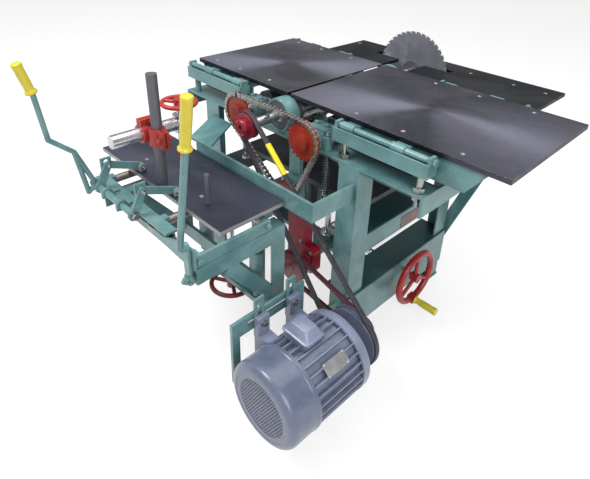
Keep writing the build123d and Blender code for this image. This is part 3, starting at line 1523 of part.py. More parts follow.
# Mortise table on two sleeves, with lugs for the plunge links and a hole at each end
link_pin_z = mortise_top + link_pin_rise
with BuildPart() as mortise_table:
    table_xs = (mortise_left, mortise_right)
    table_ys = (mortise_front, mortise_back)
    block(table_xs, table_ys, (mortise_under, mortise_top))
    sleeve_ys = (plunge_sleeve_y - plunge_sleeve_length / 2, plunge_sleeve_y + plunge_sleeve_length / 2)
    for x in plunge_rod_places:
        round_y(x, sleeve_ys, plunge_rod_z, plunge_sleeve_radius)
        pad_xs = (x - plunge_sleeve_radius, x + plunge_sleeve_radius)
        block(pad_xs, sleeve_ys, (plunge_rod_z, mortise_under))
        round_y(x, sleeve_ys, plunge_rod_z, plunge_rod_radius + running, Mode.SUBTRACT)
    for x in link_places:
        lug_xs = (x + link_thickness / 2 + narrow, x + link_thickness / 2 + narrow + link_lug_thickness)
        block(lug_xs, (link_pin_y - link_lug_half, link_pin_y + link_lug_half), (mortise_top, link_pin_z))
        round_x(lug_xs, link_pin_y, link_pin_z, link_lug_half)
        round_x((x - link_thickness / 2, lug_xs[1]), link_pin_y, link_pin_z, link_pin_radius)
    for x in (table_xs[0] + table_hole_inset, table_xs[1] - table_hole_inset):
        round_z(x, middle(table_ys), (mortise_under, mortise_top), table_hole_radius, Mode.SUBTRACT)

# Rock shaft with two arms and the bent plunge lever at its left end
arm_pin_y = rock_y + rock_arm_length * cos(radians(rock_arm_angle))
arm_pin_z = rock_z + rock_arm_length * sin(radians(rock_arm_angle))
lever_points = [
    (lever_x, rock_y, rock_z),
    (lever_x, lever_junction_y, rock_z + lever_junction_rise),
    (lever_x, lever_bend_y, rock_z + lever_bend_rise),
    (lever_x, lever_grip_y, rock_z + lever_grip_rise),
    (lever_x, lever_end_y, rock_z + lever_end_rise),
]
loop_points = [
    (lever_x, rock_y, rock_z),
    (lever_x, lever_loop_y, rock_z + lever_loop_rise),
    (lever_x, lever_junction_y, rock_z + lever_junction_rise),
]
grip_run = Vector(*lever_points[-1]) - Vector(*lever_points[-2])
plunge_grip_start = Vector(*lever_points[-2]) + grip_run.normalized() * lever_rod_radius
lever_tip = Vector(*lever_points[-1]) - grip_run.normalized() * (2 * grip_radius)
with BuildPart() as plunge_lever:
    arm_reach = link_thickness / 2 + narrow + rock_arm_thickness
    round_x((lever_x - rock_arm_thickness, link_places[1] + arm_reach), rock_y, rock_z, rock_radius)
    for x in link_places:
        arm_xs = (x + link_thickness / 2 + narrow, x + arm_reach)
        round_x(arm_xs, rock_y, rock_z, rock_hub_radius)
        outline_x(strip((rock_y, rock_z), (arm_pin_y, arm_pin_z), 2 * link_half), arm_xs)
        round_x(arm_xs, arm_pin_y, arm_pin_z, link_half)
        round_x((x - link_thickness / 2, arm_xs[1]), arm_pin_y, arm_pin_z, link_pin_radius)
    round_bar(lever_points[:-1] + [tuple(lever_tip)], lever_rod_radius)
    round_bar(loop_points, lever_rod_radius)

with BuildPart() as plunge_grip:
    hand_grip(tuple(plunge_grip_start), lever_points[-1], lever_rod_radius)
    with Locations(Vector(*lever_points[-2]), lever_tip):
        Sphere(lever_rod_radius + seated, mode=Mode.SUBTRACT)

# Two flat links from the rock arms to the table, slotted where they take the arm's pin
with BuildPart() as plunge_links:
    for x in link_places:
        link_xs = (x - link_thickness / 2, x + link_thickness / 2)
        outline_x(strip((link_pin_y, link_pin_z), (arm_pin_y, arm_pin_z), 2 * link_half), link_xs)
        round_x(link_xs, link_pin_y, link_pin_z, link_half)
        eye_half = link_eye_half + link_slot_half / 2
        eye_ys = (arm_pin_y - link_eye_half, arm_pin_y + link_eye_half)
        block(link_xs, eye_ys, (arm_pin_z - link_eye_half, arm_pin_z + eye_half))
        round_x(link_xs, link_pin_y, link_pin_z, link_pin_radius + running, Mode.SUBTRACT)
        slot_reach = link_pin_radius + passing
        slot_ys = (arm_pin_y - slot_reach - passing, arm_pin_y + slot_reach + passing)
        slot_zs = (arm_pin_z - slot_reach - passing, arm_pin_z + slot_reach + link_slot_half)
        slot_through_x(link_xs, slot_ys, slot_zs)

# Traverse lever on the knee's right arm, with the follower pin that moves the carriage
lever_foot = (traverse_pivot_x, traverse_tube_y, traverse_pivot_z + traverse_foot_rise)
lever_low = (traverse_grip_x, traverse_tube_y, traverse_pivot_z + traverse_grip_rise)
lever_high = (traverse_top_x, traverse_tube_y, traverse_pivot_z + traverse_top_rise)
high_run = Vector(*lever_high) - Vector(*lever_low)
traverse_tip = Vector(*lever_high) - high_run.normalized() * (2 * grip_radius)
with BuildPart() as traverse_lever:
    flat_ys = (flat_front, flat_back)
    round_y(traverse_pivot_x, flat_ys, traverse_pivot_z, traverse_hub_radius)
    pivot = (traverse_pivot_x, traverse_pivot_z)
    round_y(follower_x, (flat_front, knee_front - drive_plate_gap), follower_z, traverse_follower_radius)
    foot = (lever_foot[0], lever_foot[2])
    outline_y(strip(pivot, foot, traverse_flat_width), flat_ys)
    round_y(foot[0], (traverse_tube_y, flat_back), foot[1], traverse_flat_width / 2)
    round_y(traverse_pivot_x, flat_ys, traverse_pivot_z, traverse_pin_radius + running, Mode.SUBTRACT)
    round_bar([lever_foot, lever_low, tuple(traverse_tip)], traverse_tube_radius)

with BuildPart() as traverse_grip:
    hand_grip(lever_low, lever_high, traverse_tube_radius)
    with Locations(Vector(*lever_low), traverse_tip):
        Sphere(traverse_tube_radius + seated, mode=Mode.SUBTRACT)

# Lifting screw of the knee with its handwheel below
with BuildPart() as lift_handwheel:
    round_z(0, guide_y, (lift_wheel_z, lug_top), lift_screw_radius)
    collar_bottom = lug_top + narrow
    round_z(0, guide_y, (lug_top, collar_bottom), lift_screw_radius)
    round_z(0, guide_y, (collar_bottom, collar_bottom + lift_collar_height), lift_collar_radius)
    handwheel(
        Plane((0, guide_y, lift_wheel_z)),
        lift_wheel_radius,
        lift_rim_radius,
        lift_spokes,
        lift_spoke_radius,
        lift_hub_radius,
        lift_hub_length,
    )

# Clamp post and stop pin standing on the mortise table
with BuildPart() as clamp_post:
    round_z(post_x, post_y, (mortise_top, mortise_top + post_height), post_radius)
    round_z(stop_x, stop_y, (mortise_top, mortise_top + stop_height), stop_radius)

# Split casting that grips the post and the clamp bar
clamp_bar_z = mortise_top + clamp_bar_rise
with BuildPart() as clamp_casting:
    casting_ys = (post_y - clamp_casting_length / 2, post_y + clamp_casting_length / 2)
    post_zs = (clamp_bar_z - clamp_post_boss / 2, clamp_bar_z + clamp_post_boss / 2)
    round_z(post_x, post_y, post_zs, post_radius + clamp_wall)
    round_y(clamp_bar_x, casting_ys, clamp_bar_z, clamp_bar_radius + clamp_wall)
    ear_xs = (clamp_bar_x - clamp_ear_thickness, clamp_bar_x + clamp_ear_thickness)
    ear_top = clamp_bar_z + clamp_bar_radius + clamp_ear_rise
    block(ear_xs, casting_ys, (clamp_bar_z, ear_top))
    lug_xs = (post_x, post_x + post_radius + clamp_wall + clamp_lug_reach)
    block(lug_xs, (post_y - clamp_ear_thickness, post_y + clamp_ear_thickness), post_zs)
    split_xs = (clamp_bar_x - clamp_split / 2, clamp_bar_x + clamp_split / 2)
    block(split_xs, casting_ys, (clamp_bar_z, ear_top), Mode.SUBTRACT)
    block(lug_xs, (post_y - clamp_split / 2, post_y + clamp_split / 2), post_zs, Mode.SUBTRACT)
    round_y(clamp_bar_x, casting_ys, clamp_bar_z, clamp_bar_radius + running, Mode.SUBTRACT)
    round_z(post_x, post_y, post_zs, post_radius + running, Mode.SUBTRACT)

# Clamp bar with the head that holds the clamp screw
with BuildPart() as clamp_bar:
    round_y(clamp_bar_x, (clamp_bar_front, clamp_bar_back), clamp_bar_z, clamp_bar_radius)
    head_zs = (clamp_bar_z - clamp_head_height / 2, clamp_bar_z + clamp_head_height / 2)
    round_z(clamp_bar_x, clamp_head_y, head_zs, clamp_head_radius)
    bore_zs = (head_zs[0] - passing, head_zs[1] + passing)
    round_z(clamp_bar_x, clamp_head_y, bore_zs, clamp_screw_radius + running, Mode.SUBTRACT)

pad_bottom = mortise_top + pad_gap
pad_top = pad_bottom + pad_height
with BuildPart() as clamp_pad:
    round_z(clamp_bar_x, clamp_head_y, (pad_bottom, pad_top), pad_radius)
    socket = (pad_top - clamp_tip_depth, pad_top)
    round_z(clamp_bar_x, clamp_head_y, socket, clamp_tip_radius + running, Mode.SUBTRACT)

with BuildPart() as clamp_screw:
    wheel_z = mortise_top + clamp_wheel_rise
    tip_zs = (pad_top - clamp_tip_depth + narrow, pad_top + narrow)
    round_z(clamp_bar_x, clamp_head_y, tip_zs, clamp_tip_radius)
    round_z(clamp_bar_x, clamp_head_y, (pad_top + narrow, wheel_z), clamp_screw_radius)
    handwheel(
        Plane((clamp_bar_x, clamp_head_y, wheel_z)),
        clamp_wheel_radius,
        clamp_rim_radius,
        clamp_spokes,
        clamp_spoke_radius,
        clamp_hub_radius,
        clamp_hub_length,
    )

pieces = {
    "legs": legs,
    "top_frame": top_frame,
    "end_panels": end_panels,
    "frame_bars": frame_bars,
    "outrigger": outrigger,
    "guide_posts": guide_posts,
    "bearing_housings": bearing_housings,
    "spindle_bearings": spindle_bearings,
    "roller_blocks": roller_blocks,
    "roller_springs": roller_springs,
    "feed_gearbox": feed_gearbox,
    "feed_chain": feed_chain,
    "main_belt": main_belt,
    "feed_belt": feed_belt,
    "motor_body": motor_body,
    "motor_fan_cowl": motor_fan_cowl,
    "motor_terminal_box": motor_terminal_box,
    "motor_mount": motor_mount,
    "jack_nuts": jack_nuts,
    "saw_table_supports": saw_table_supports,
    "outfeed_beams": outfeed_beams,
    "infeed_beams": infeed_beams,
    "infeed_table": infeed_table,
    "outfeed_table": outfeed_table,
    "infeed_skirts": infeed_skirts,
    "outfeed_skirts": outfeed_skirts,
    "cutterblock": cutterblock,
    "planer_knives": planer_knives,
    "spindle_pulley": spindle_pulley,
    "mortise_chuck": mortise_chuck,
    "saw_blade": saw_blade,
    "saw_flanges": saw_flanges,
    "motor_shaft": motor_shaft,
    "motor_pulley": motor_pulley,
    "infeed_roller": infeed_roller,
    "outfeed_roller": outfeed_roller,
    "infeed_sprocket": infeed_sprocket,
    "outfeed_sprocket": outfeed_sprocket,
    "drive_sprocket": drive_sprocket,
    "feed_pulley": feed_pulley,
    "thicknesser_bed": thicknesser_bed,
    "bed_screw": bed_screw,
    "bed_handwheel": bed_handwheel,
    "bed_crank_grip": bed_crank_grip,
    "saw_table": saw_table,
    "saw_strut": saw_strut,
    "knee": knee,
    "carriage": carriage,
    "mortise_table": mortise_table,
    "plunge_lever": plunge_lever,
    "plunge_grip": plunge_grip,
    "plunge_links": plunge_links,
    "traverse_lever": traverse_lever,
    "traverse_grip": traverse_grip,
    "lift_handwheel": lift_handwheel,
    "clamp_post": clamp_post,
    "clamp_casting": clamp_casting,
    "clamp_bar": clamp_bar,
    "clamp_pad": clamp_pad,
    "clamp_screw": clamp_screw,
}

# The kept frame has its origin on the floor, in the middle of the machine's plan
reach_left = rail_left - end_plate
reach_right = lip_reach + infeed_length
reach_front = lever_end_y - grip_radius
reach_back = saw_table_front + saw_table_depth
to_origin = Location((-(reach_left + reach_right) / 2, -(reach_front + reach_back) / 2, 0))

os.makedirs("parts", exist_ok=True)
for name, piece in pieces.items():
    placed = piece.part.moved(to_origin)
    placed.label = name
    export_step(placed, f"parts/{name}.step")
print(f"{len(pieces)} pieces, origin shift {tuple(to_origin.position)}")
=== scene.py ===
import math
from itertools import product

import bmesh
import bpy
from mathutils import Matrix, Vector


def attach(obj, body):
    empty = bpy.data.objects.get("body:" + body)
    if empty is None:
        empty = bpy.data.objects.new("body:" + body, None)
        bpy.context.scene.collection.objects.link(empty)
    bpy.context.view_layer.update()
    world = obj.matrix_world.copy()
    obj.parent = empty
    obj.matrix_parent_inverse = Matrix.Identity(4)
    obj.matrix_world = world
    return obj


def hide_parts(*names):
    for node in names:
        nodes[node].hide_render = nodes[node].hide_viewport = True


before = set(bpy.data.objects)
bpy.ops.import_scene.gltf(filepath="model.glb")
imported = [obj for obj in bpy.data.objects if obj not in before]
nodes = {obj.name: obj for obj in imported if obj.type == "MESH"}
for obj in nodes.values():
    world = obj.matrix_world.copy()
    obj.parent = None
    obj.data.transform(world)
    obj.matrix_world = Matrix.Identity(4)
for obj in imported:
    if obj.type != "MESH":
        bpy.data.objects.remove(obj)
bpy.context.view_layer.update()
scene = bpy.context.scene
scene.view_settings.view_transform = "Standard"
print("frame loaded:", len(nodes), "nodes")

# Places are in millimetres from the cutter's axis, the tables' front edge and the floor
machineOrigin = Vector((-93.0, -33.0, 0.0))
mm = 0.001
tableDepth = 400.0
tableTop = 672.0
sawTableTop = 652.0
mortiseTableTop = 504.0
spindleHeight = 620.0
motorX, motorZ = 380.0, 202.0
up, down = (0.0, 0.0, 1.0), (0.0, 0.0, -1.0)
forward, rearward = (0.0, -1.0, 0.0), (0.0, 1.0, 0.0)
right, left = (1.0, 0.0, 0.0), (-1.0, 0.0, 0.0)
fullTurn = 2 * math.pi


def spot(x, y, z):
    return (Vector((x, y, z)) + machineOrigin) * mm


def lin(red, green, blue):
    # a colour as it looks on a screen, for a shader
    shares = [value / 255 for value in (red, green, blue)]
    return tuple(s / 12.92 if s < 0.04045 else ((s + 0.055) / 1.055) ** 2.4 for s in shares) + (1.0,)


# Node tools

def put(tree, kind, feeds=(), **settings):
    # a node with its settings; a feed is a plain value or another node's socket
    node = tree.nodes.new(kind)
    for name, value in settings.items():
        setattr(node, name, value)
    for key, value in feeds:
        if isinstance(value, bpy.types.NodeSocket):
            tree.links.new(value, node.inputs[key])
        else:
            node.inputs[key].default_value = value
    return node


def calc(tree, operation, *values, clamp=False):
    return put(tree, "ShaderNodeMath", enumerate(values), operation=operation, use_clamp=clamp).outputs[0]


def vec(tree, operation, *values):
    node = put(tree, "ShaderNodeVectorMath", enumerate(values), operation=operation)
    return node.outputs["Value" if operation in ("LENGTH", "DOT_PRODUCT") else "Vector"]


def weigh(tree, *parts, clamp=False):
    # the sum of values, each with its weight
    shares = [value if weight == 1 else calc(tree, "MULTIPLY", value, weight) for value, weight in parts]
    total = shares[0]
    for share in shares[1:]:
        total = calc(tree, "ADD", total, share, clamp=clamp and share is shares[-1])
    return total


def mixColor(tree, share, first, second):
    feeds = [(0, share), (6, first), (7, second)]
    return put(tree, "ShaderNodeMix", feeds, data_type="RGBA", clamp_factor=False).outputs[2]


def mixValue(tree, share, first, second):
    return put(tree, "ShaderNodeMix", [(0, share), (2, first), (3, second)], data_type="FLOAT").outputs[0]


def spread(tree, value, source, target=(0.0, 1.0)):
    # one range of values eased into another
    feeds = enumerate((value, *source, *target))
    return put(tree, "ShaderNodeMapRange", feeds, interpolation_type="SMOOTHSTEP").outputs[0]


def noise(tree, place, scale, detail=3.0, rough=0.55, warp=0.0):
    labels = ("Vector", "Scale", "Detail", "Roughness", "Distortion")
    feeds = zip(labels, (place, scale, detail, rough, warp))
    return put(tree, "ShaderNodeTexNoise", feeds).outputs[0]


def ownPlace(tree):
    return put(tree, "ShaderNodeTexCoord").outputs["Object"]


def effectGroup(name, inputs):
    # a colour has four shares, a vector three
    group = bpy.data.node_groups.new(name, "ShaderNodeTree")
    for label, value in inputs.items():
        kind = {4: "Color", 3: "Vector"}[len(value)] if isinstance(value, tuple) else "Float"
        socket = group.interface.new_socket(name=label, in_out="INPUT", socket_type="NodeSocket" + kind)
        socket.default_value = value
    return group, group.nodes.new("NodeGroupInput").outputs


def giveOut(group, **results):
    for label in results:
        kind = "Color" if label == "Color" else "Float"
        group.interface.new_socket(name=label, in_out="OUTPUT", socket_type="NodeSocket" + kind)
    put(group, "NodeGroupOutput", results.items())
    return group


def placeGroup(tree, group, values):
    return put(tree, "ShaderNodeGroup", values.items(), node_tree=group).outputs


# Shared effects

cornerSamples = 4


def makePaintGroup():
    # brushed-on enamel: soft cells like hammered paint, cloudy tone, faint runs
    group, get = effectGroup("paintSkin", {
        "Light": (0.2, 0.34, 0.3, 1.0), "Dark": (0.1, 0.2, 0.18, 1.0), "Cell": 260.0, "Gloss": 0.35})
    place = ownPlace(group)
    cells = put(group, "ShaderNodeTexVoronoi", [("Vector", place), ("Scale", get["Cell"])],
                feature="SMOOTH_F1").outputs["Distance"]
    cloud = noise(group, place, scale=11.0, detail=5.0, rough=0.6, warp=0.6)
    speck = noise(group, place, scale=420.0, detail=2.0)
    runs = noise(group, vec(group, "MULTIPLY", place, (60.0, 60.0, 6.0)), scale=1.0)
    grit = calc(group, "SUBTRACT", speck, 0.5)
    tone = weigh(group, (spread(group, cloud, (0.32, 0.68)), 0.6), (cells, 0.25), (grit, 0.5), clamp=True)
    color = mixColor(group, tone, get["Dark"], get["Light"])
    color = mixColor(group, spread(group, runs, (0.6, 0.85), (0.0, 0.35)), color, get["Dark"])
    shine = weigh(group, (get["Gloss"], 1), (spread(group, cloud, (0.2, 0.8), (-0.06, 0.12)), 1))
    return giveOut(group, Color=color, Roughness=shine, Height=weigh(group, (cells, 0.7), (speck, 0.3)))


def makeEdgeGroup():
    # worn corners, found where a rounded copy of the surface turns away from it
    group, get = effectGroup("edgeWear", {"Radius": 0.0012, "Patch": 90.0})
    rounded = put(group, "ShaderNodeBevel", [("Radius", get["Radius"])], samples=cornerSamples).outputs[0]
    flat = put(group, "ShaderNodeNewGeometry").outputs["Normal"]
    away = calc(group, "SUBTRACT", 1.0, vec(group, "DOT_PRODUCT", rounded, flat))
    patch = noise(group, ownPlace(group), get["Patch"], detail=4.0, rough=0.65)
    mask = calc(group, "MULTIPLY", spread(group, away, (0.03, 0.16)), spread(group, patch, (0.42, 0.62)))
    return giveOut(group, Mask=mask)


def makeCreviceShadeGroup():
    # dust and oil that gather in corners, with painted shade: an ambient-occlusion mask darkens corners and
    # recesses where shade falls
    group, get = effectGroup("creviceGrimeAndShade", {"Reach": 0.02, "Patch": 35.0})
    shade = put(group, "ShaderNodeAmbientOcclusion", [("Distance", get["Reach"])],
                samples=cornerSamples).outputs["AO"]
    closed = spread(group, calc(group, "SUBTRACT", 1.0, shade), (0.25, 0.9))
    patch = noise(group, ownPlace(group), get["Patch"], detail=5.0, rough=0.6)
    mask = calc(group, "MULTIPLY", closed, spread(group, patch, (0.25, 0.7), (0.35, 1.0)))
    return giveOut(group, Mask=mask)


def makeSteelGroup():
    # turned or drawn steel: fine lines along one way, cloudy stains
    group, get = effectGroup("drawnSteel", {
        "Light": (0.6, 0.6, 0.6, 1.0), "Dark": (0.3, 0.3, 0.3, 1.0),
        "Lines": (40.0, 900.0, 900.0), "Gloss": 0.3})
    place = ownPlace(group)
    lines = noise(group, vec(group, "MULTIPLY", place, get["Lines"]), scale=1.0, detail=4.0, rough=0.7)
    stain = noise(group, place, scale=26.0, detail=5.0, rough=0.65, warp=0.8)
    tone = weigh(group, (lines, 0.55), (stain, 0.6), clamp=True)
    shine = weigh(group, (get["Gloss"], 1), (spread(group, stain, (0.25, 0.8), (-0.08, 0.2)), 1))
    color = mixColor(group, tone, get["Dark"], get["Light"])
    return giveOut(group, Color=color, Roughness=shine, Height=lines)


def makeSwirlGroup():
    # a plate ground by hand in wide circles, with scratches and stains, and two fans of painted highlight
    group, get = effectGroup("groundSwirl", {
        "Light": (0.16, 0.16, 0.18, 1.0), "Dark": (0.05, 0.05, 0.055, 1.0), "Middle": (0.0, 0.0, 0.0),
        "Gloss": 0.34, "Fan": 0.0, "FanOne": (-0.79, -0.61, 0.0), "FanTwo": (0.95, -0.32, 0.0)})
    place = ownPlace(group)
    offset = vec(group, "SUBTRACT", place, get["Middle"])
    far = vec(group, "LENGTH", offset)
    way = vec(group, "NORMALIZE", offset)
    # painted highlight: two bright wedges from the middle, where circular grinding would catch the light
    highlightFans = [spread(group, vec(group, "DOT_PRODUCT", way, get[key]), (tight, 1.0))
            for key, tight in (("FanOne", 0.8), ("FanTwo", 0.72))]
    fan = calc(group, "MAXIMUM", *highlightFans)
    for limit in (spread(group, far, (0.0, 0.06)), spread(group, far, (0.5, 0.12)), get["Fan"]):
        fan = calc(group, "MULTIPLY", fan, limit)
    rings = put(group, "ShaderNodeTexWave", [
        ("Vector", offset), ("Scale", 90.0), ("Distortion", 6.0), ("Detail", 4.0), ("Detail Scale", 1.5),
        ("Detail Roughness", 0.7)], wave_type="RINGS", rings_direction="Z").outputs["Fac"]
    loops = put(group, "ShaderNodeTexVoronoi", [("Vector", offset), ("Scale", 7.0)],
                feature="F1").outputs["Distance"]
    arcs = calc(group, "SINE", calc(group, "MULTIPLY", loops, 900.0))
    cloud = noise(group, place, scale=5.0, detail=5.0, warp=1.2)
    fine = noise(group, place, scale=650.0, detail=2.0)
    stain = spread(group, cloud, (0.3, 0.75), (0.1, 0.7))
    tone = weigh(group, (stain, 1), (rings, 0.18), (arcs, 0.05), clamp=True)
    # the painted highlight lightens the tone inside the fans
    tone = calc(group, "ADD", tone, calc(group, "MULTIPLY", fan, calc(group, "ADD", rings, 0.5)))
    dull = spread(group, cloud, (0.25, 0.75), (0.12, -0.05))
    return giveOut(group, Color=mixColor(group, tone, get["Dark"], get["Light"]),
                   Roughness=weigh(group, (get["Gloss"], 1), (dull, 1), (rings, 0.06)),
                   Height=weigh(group, (rings, 0.5), (arcs, 0.2), (fine, 0.3)))


def makeMouldGroup():
    # moulded rubber or plastic: fine grain and scuffs
    group, get = effectGroup("mouldedGrain", {
        "Base": (0.03, 0.03, 0.03, 1.0), "Scuff": (0.12, 0.12, 0.12, 1.0), "Grain": 700.0, "Gloss": 0.5})
    place = ownPlace(group)
    scuff = noise(group, place, scale=60.0, detail=6.0, rough=0.7, warp=1.5)
    share = spread(group, scuff, (0.5, 0.78), (0.0, 0.7))
    return giveOut(group, Color=mixColor(group, share, get["Base"], get["Scuff"]),
                   Roughness=weigh(group, (get["Gloss"], 1), (share, 0.25)),
                   Height=noise(group, place, get["Grain"], detail=2.0))


def makeBarGroup():
    # picks out a round bar: the surface that lies within reach of its axis
    group, get = effectGroup("barArea", {"Middle": (0.0, 0.0, 0.0), "Across": (0.0, 1.0, 1.0), "Reach": 0.01})
    offset = vec(group, "SUBTRACT", ownPlace(group), get["Middle"])
    far = vec(group, "LENGTH", vec(group, "MULTIPLY", offset, get["Across"]))
    return giveOut(group, Mask=calc(group, "LESS_THAN", far, get["Reach"]))


def makeSideGroup():
    # picks out all that lies beyond a plane
    group, get = effectGroup("sideArea", {"Way": up, "Limit": 0.0})
    reach = vec(group, "DOT_PRODUCT", ownPlace(group), get["Way"])
    return giveOut(group, Mask=calc(group, "GREATER_THAN", reach, get["Limit"]))


paintSkin = makePaintGroup()
edgeWear = makeEdgeGroup()
creviceGrimeAndShade = makeCreviceShadeGroup()
drawnSteel = makeSteelGroup()
groundSwirl = makeSwirlGroup()
mouldedGrain = makeMouldGroup()
barArea = makeBarGroup()
sideArea = makeSideGroup()
print("effects ready")


# Finishes, with colours as they look on a screen

paints = {
    "frameGreen": dict(Light=(118, 157, 158), Dark=(72, 112, 114), Cell=300.0, Gloss=0.34),
    "springGreen": dict(Light=(66, 94, 90), Dark=(30, 46, 46), Cell=500.0, Gloss=0.4),
    # painted shade: a darker green for folded tops that lie in the tables' shadow
    "foldShadeGreen": dict(Light=(38, 84, 87), Dark=(20, 56, 60), Cell=300.0, Gloss=0.5),
    # painted light: a lighter copy of the motor grey for the fins, end bell and terminal box, which sit in
    # shade
    "motorGreyLit": dict(Light=(140, 148, 172), Dark=(104, 112, 136), Cell=420.0, Gloss=0.3),
    "motorGrey": dict(Light=(110, 117, 140), Dark=(80, 87, 110), Cell=420.0, Gloss=0.3),
    "sprocketOrange": dict(Light=(178, 50, 25), Dark=(116, 27, 20), Cell=380.0, Gloss=0.34),
    "driveCrimson": dict(Light=(160, 20, 44), Dark=(104, 12, 32), Cell=380.0, Gloss=0.3),
    "clampRed": dict(Light=(196, 54, 44), Dark=(136, 30, 28), Cell=340.0, Gloss=0.34),
    "wheelMaroon": dict(Light=(140, 34, 40), Dark=(88, 20, 26), Cell=340.0, Gloss=0.3),
    "wheelRed": dict(Light=(198, 46, 42), Dark=(142, 26, 28), Cell=340.0, Gloss=0.3),
    "plateBrown": dict(Light=(150, 122, 112), Dark=(98, 72, 66), Cell=620.0, Gloss=0.4),
}
steels = {
    "bright": dict(Light=(240, 239, 244), Dark=(162, 160, 160), Lines=(700.0, 700.0, 60.0), Gloss=0.24),
    "crossBar": dict(Light=(170, 160, 152), Dark=(104, 94, 88), Lines=(50.0, 900.0, 900.0), Gloss=0.32),
    "darkPost": dict(Light=(112, 112, 118), Dark=(68, 68, 74), Lines=(700.0, 700.0, 50.0), Gloss=0.34),
    "chain": dict(Light=(196, 192, 188), Dark=(46, 43, 42), Lines=(420.0, 420.0, 420.0), Gloss=0.3),
    "zinc": dict(Light=(178, 182, 180), Dark=(112, 116, 114), Lines=(260.0, 260.0, 260.0), Gloss=0.3),
    "blade": dict(Light=(164, 164, 175), Dark=(134, 134, 144), Lines=(420.0, 60.0, 420.0), Gloss=0.36),
    "plate": dict(Light=(232, 232, 234), Dark=(176, 176, 180), Lines=(60.0, 800.0, 800.0), Gloss=0.24),
}
# each plate's fan values set the strength and ways of its painted highlight
plates = {
    "infeed": dict(Light=(124, 124, 139), Dark=(62, 64, 73), Middle=spot(299, 194, tableTop),
                   Gloss=0.36, Fan=1.0),
    "outfeed": dict(Light=(124, 125, 140), Dark=(66, 68, 76), Middle=spot(-190, 190, tableTop),
                    Gloss=0.36, Fan=1.0, FanOne=(-0.62, -0.78, 0.0), FanTwo=(0.9, 0.44, 0.0)),
    "sawTop": dict(Light=(62, 66, 70), Dark=(32, 35, 39), Middle=spot(90, 520, sawTableTop), Gloss=0.44),
    "bed": dict(Light=(84, 90, 92), Dark=(46, 52, 54), Middle=spot(-20, 180, 432), Gloss=0.3),
    "mortise": dict(Light=(112, 117, 134), Dark=(60, 64, 77), Middle=spot(-150, -280, mortiseTableTop),
                    Gloss=0.34, Fan=0.35),
}
moulded = {
    "belt": dict(Base=(50, 47, 54), Scuff=(104, 99, 108), Grain=900.0, Gloss=0.5),
    "feedBelt": dict(Base=(82, 32, 44), Scuff=(122, 66, 76), Grain=900.0, Gloss=0.5),
    "grip": dict(Base=(212, 196, 52), Scuff=(184, 164, 44), Grain=520.0, Gloss=0.34),
    "band": dict(Base=(232, 214, 48), Scuff=(204, 182, 44), Grain=600.0, Gloss=0.42),
    "fan": dict(Base=(30, 31, 35), Scuff=(56, 58, 62), Grain=500.0, Gloss=0.5),
}
screenColors = ("Light", "Dark", "Base", "Scuff")
looks = {"paint": (paintSkin, paints), "steel": (drawnSteel, steels), "plate": (groundSwirl, plates),
         "mould": (mouldedGrain, moulded)}
metals = {"paint": 0.0, "steel": 1.0, "plate": 1.0, "mould": 0.0}
# colours for wear, for grime with painted shade in corners, for bare machined edges, and for painted shade on
# side faces
dirtAndShade = {"wear": lin(156, 155, 153), "grimeAndShade": lin(30, 29, 28), "edge": lin(176, 174, 174),
        "shade": lin(44, 50, 52)}
surface = {"coatRough": 0.12, "bumpDepth": 0.0004, "wearReach": 2.0, "wearPatch": 70.0, "grimeShadeReach": 0.03,
           "grimeShadePatch": 30.0, "grimeShadeRough": 0.8, "flankLevel": (0.8, 0.2)}
alongX, alongY, alongZ = (0.0, 1.0, 1.0), (1.0, 0.0, 1.0), (1.0, 1.0, 0.0)


def beyond(way, x=0.0, y=0.0, z=0.0):
    # the area past a place, going one way
    return sideArea, {"Way": way, "Limit": Vector(way).dot(spot(x, y, z))}


def barAt(across, reach, x=0.0, y=0.0, z=0.0):
    # the area of a round bar through a place
    return barArea, {"Middle": spot(x, y, z), "Across": across, "Reach": reach * mm}


def findArea(tree, areas):
    # all that lies in any of the areas
    mask = None
    for group, values in areas:
        part = placeGroup(tree, group, values)["Mask"]
        mask = part if mask is None else calc(tree, "MAXIMUM", mask, part)
    return mask


def placeSkin(tree, kind, tone):
    group, tones = looks[kind]
    values = {label: lin(*value) if label in screenColors else value for label, value in tones[tone].items()}
    return placeGroup(tree, group, values)


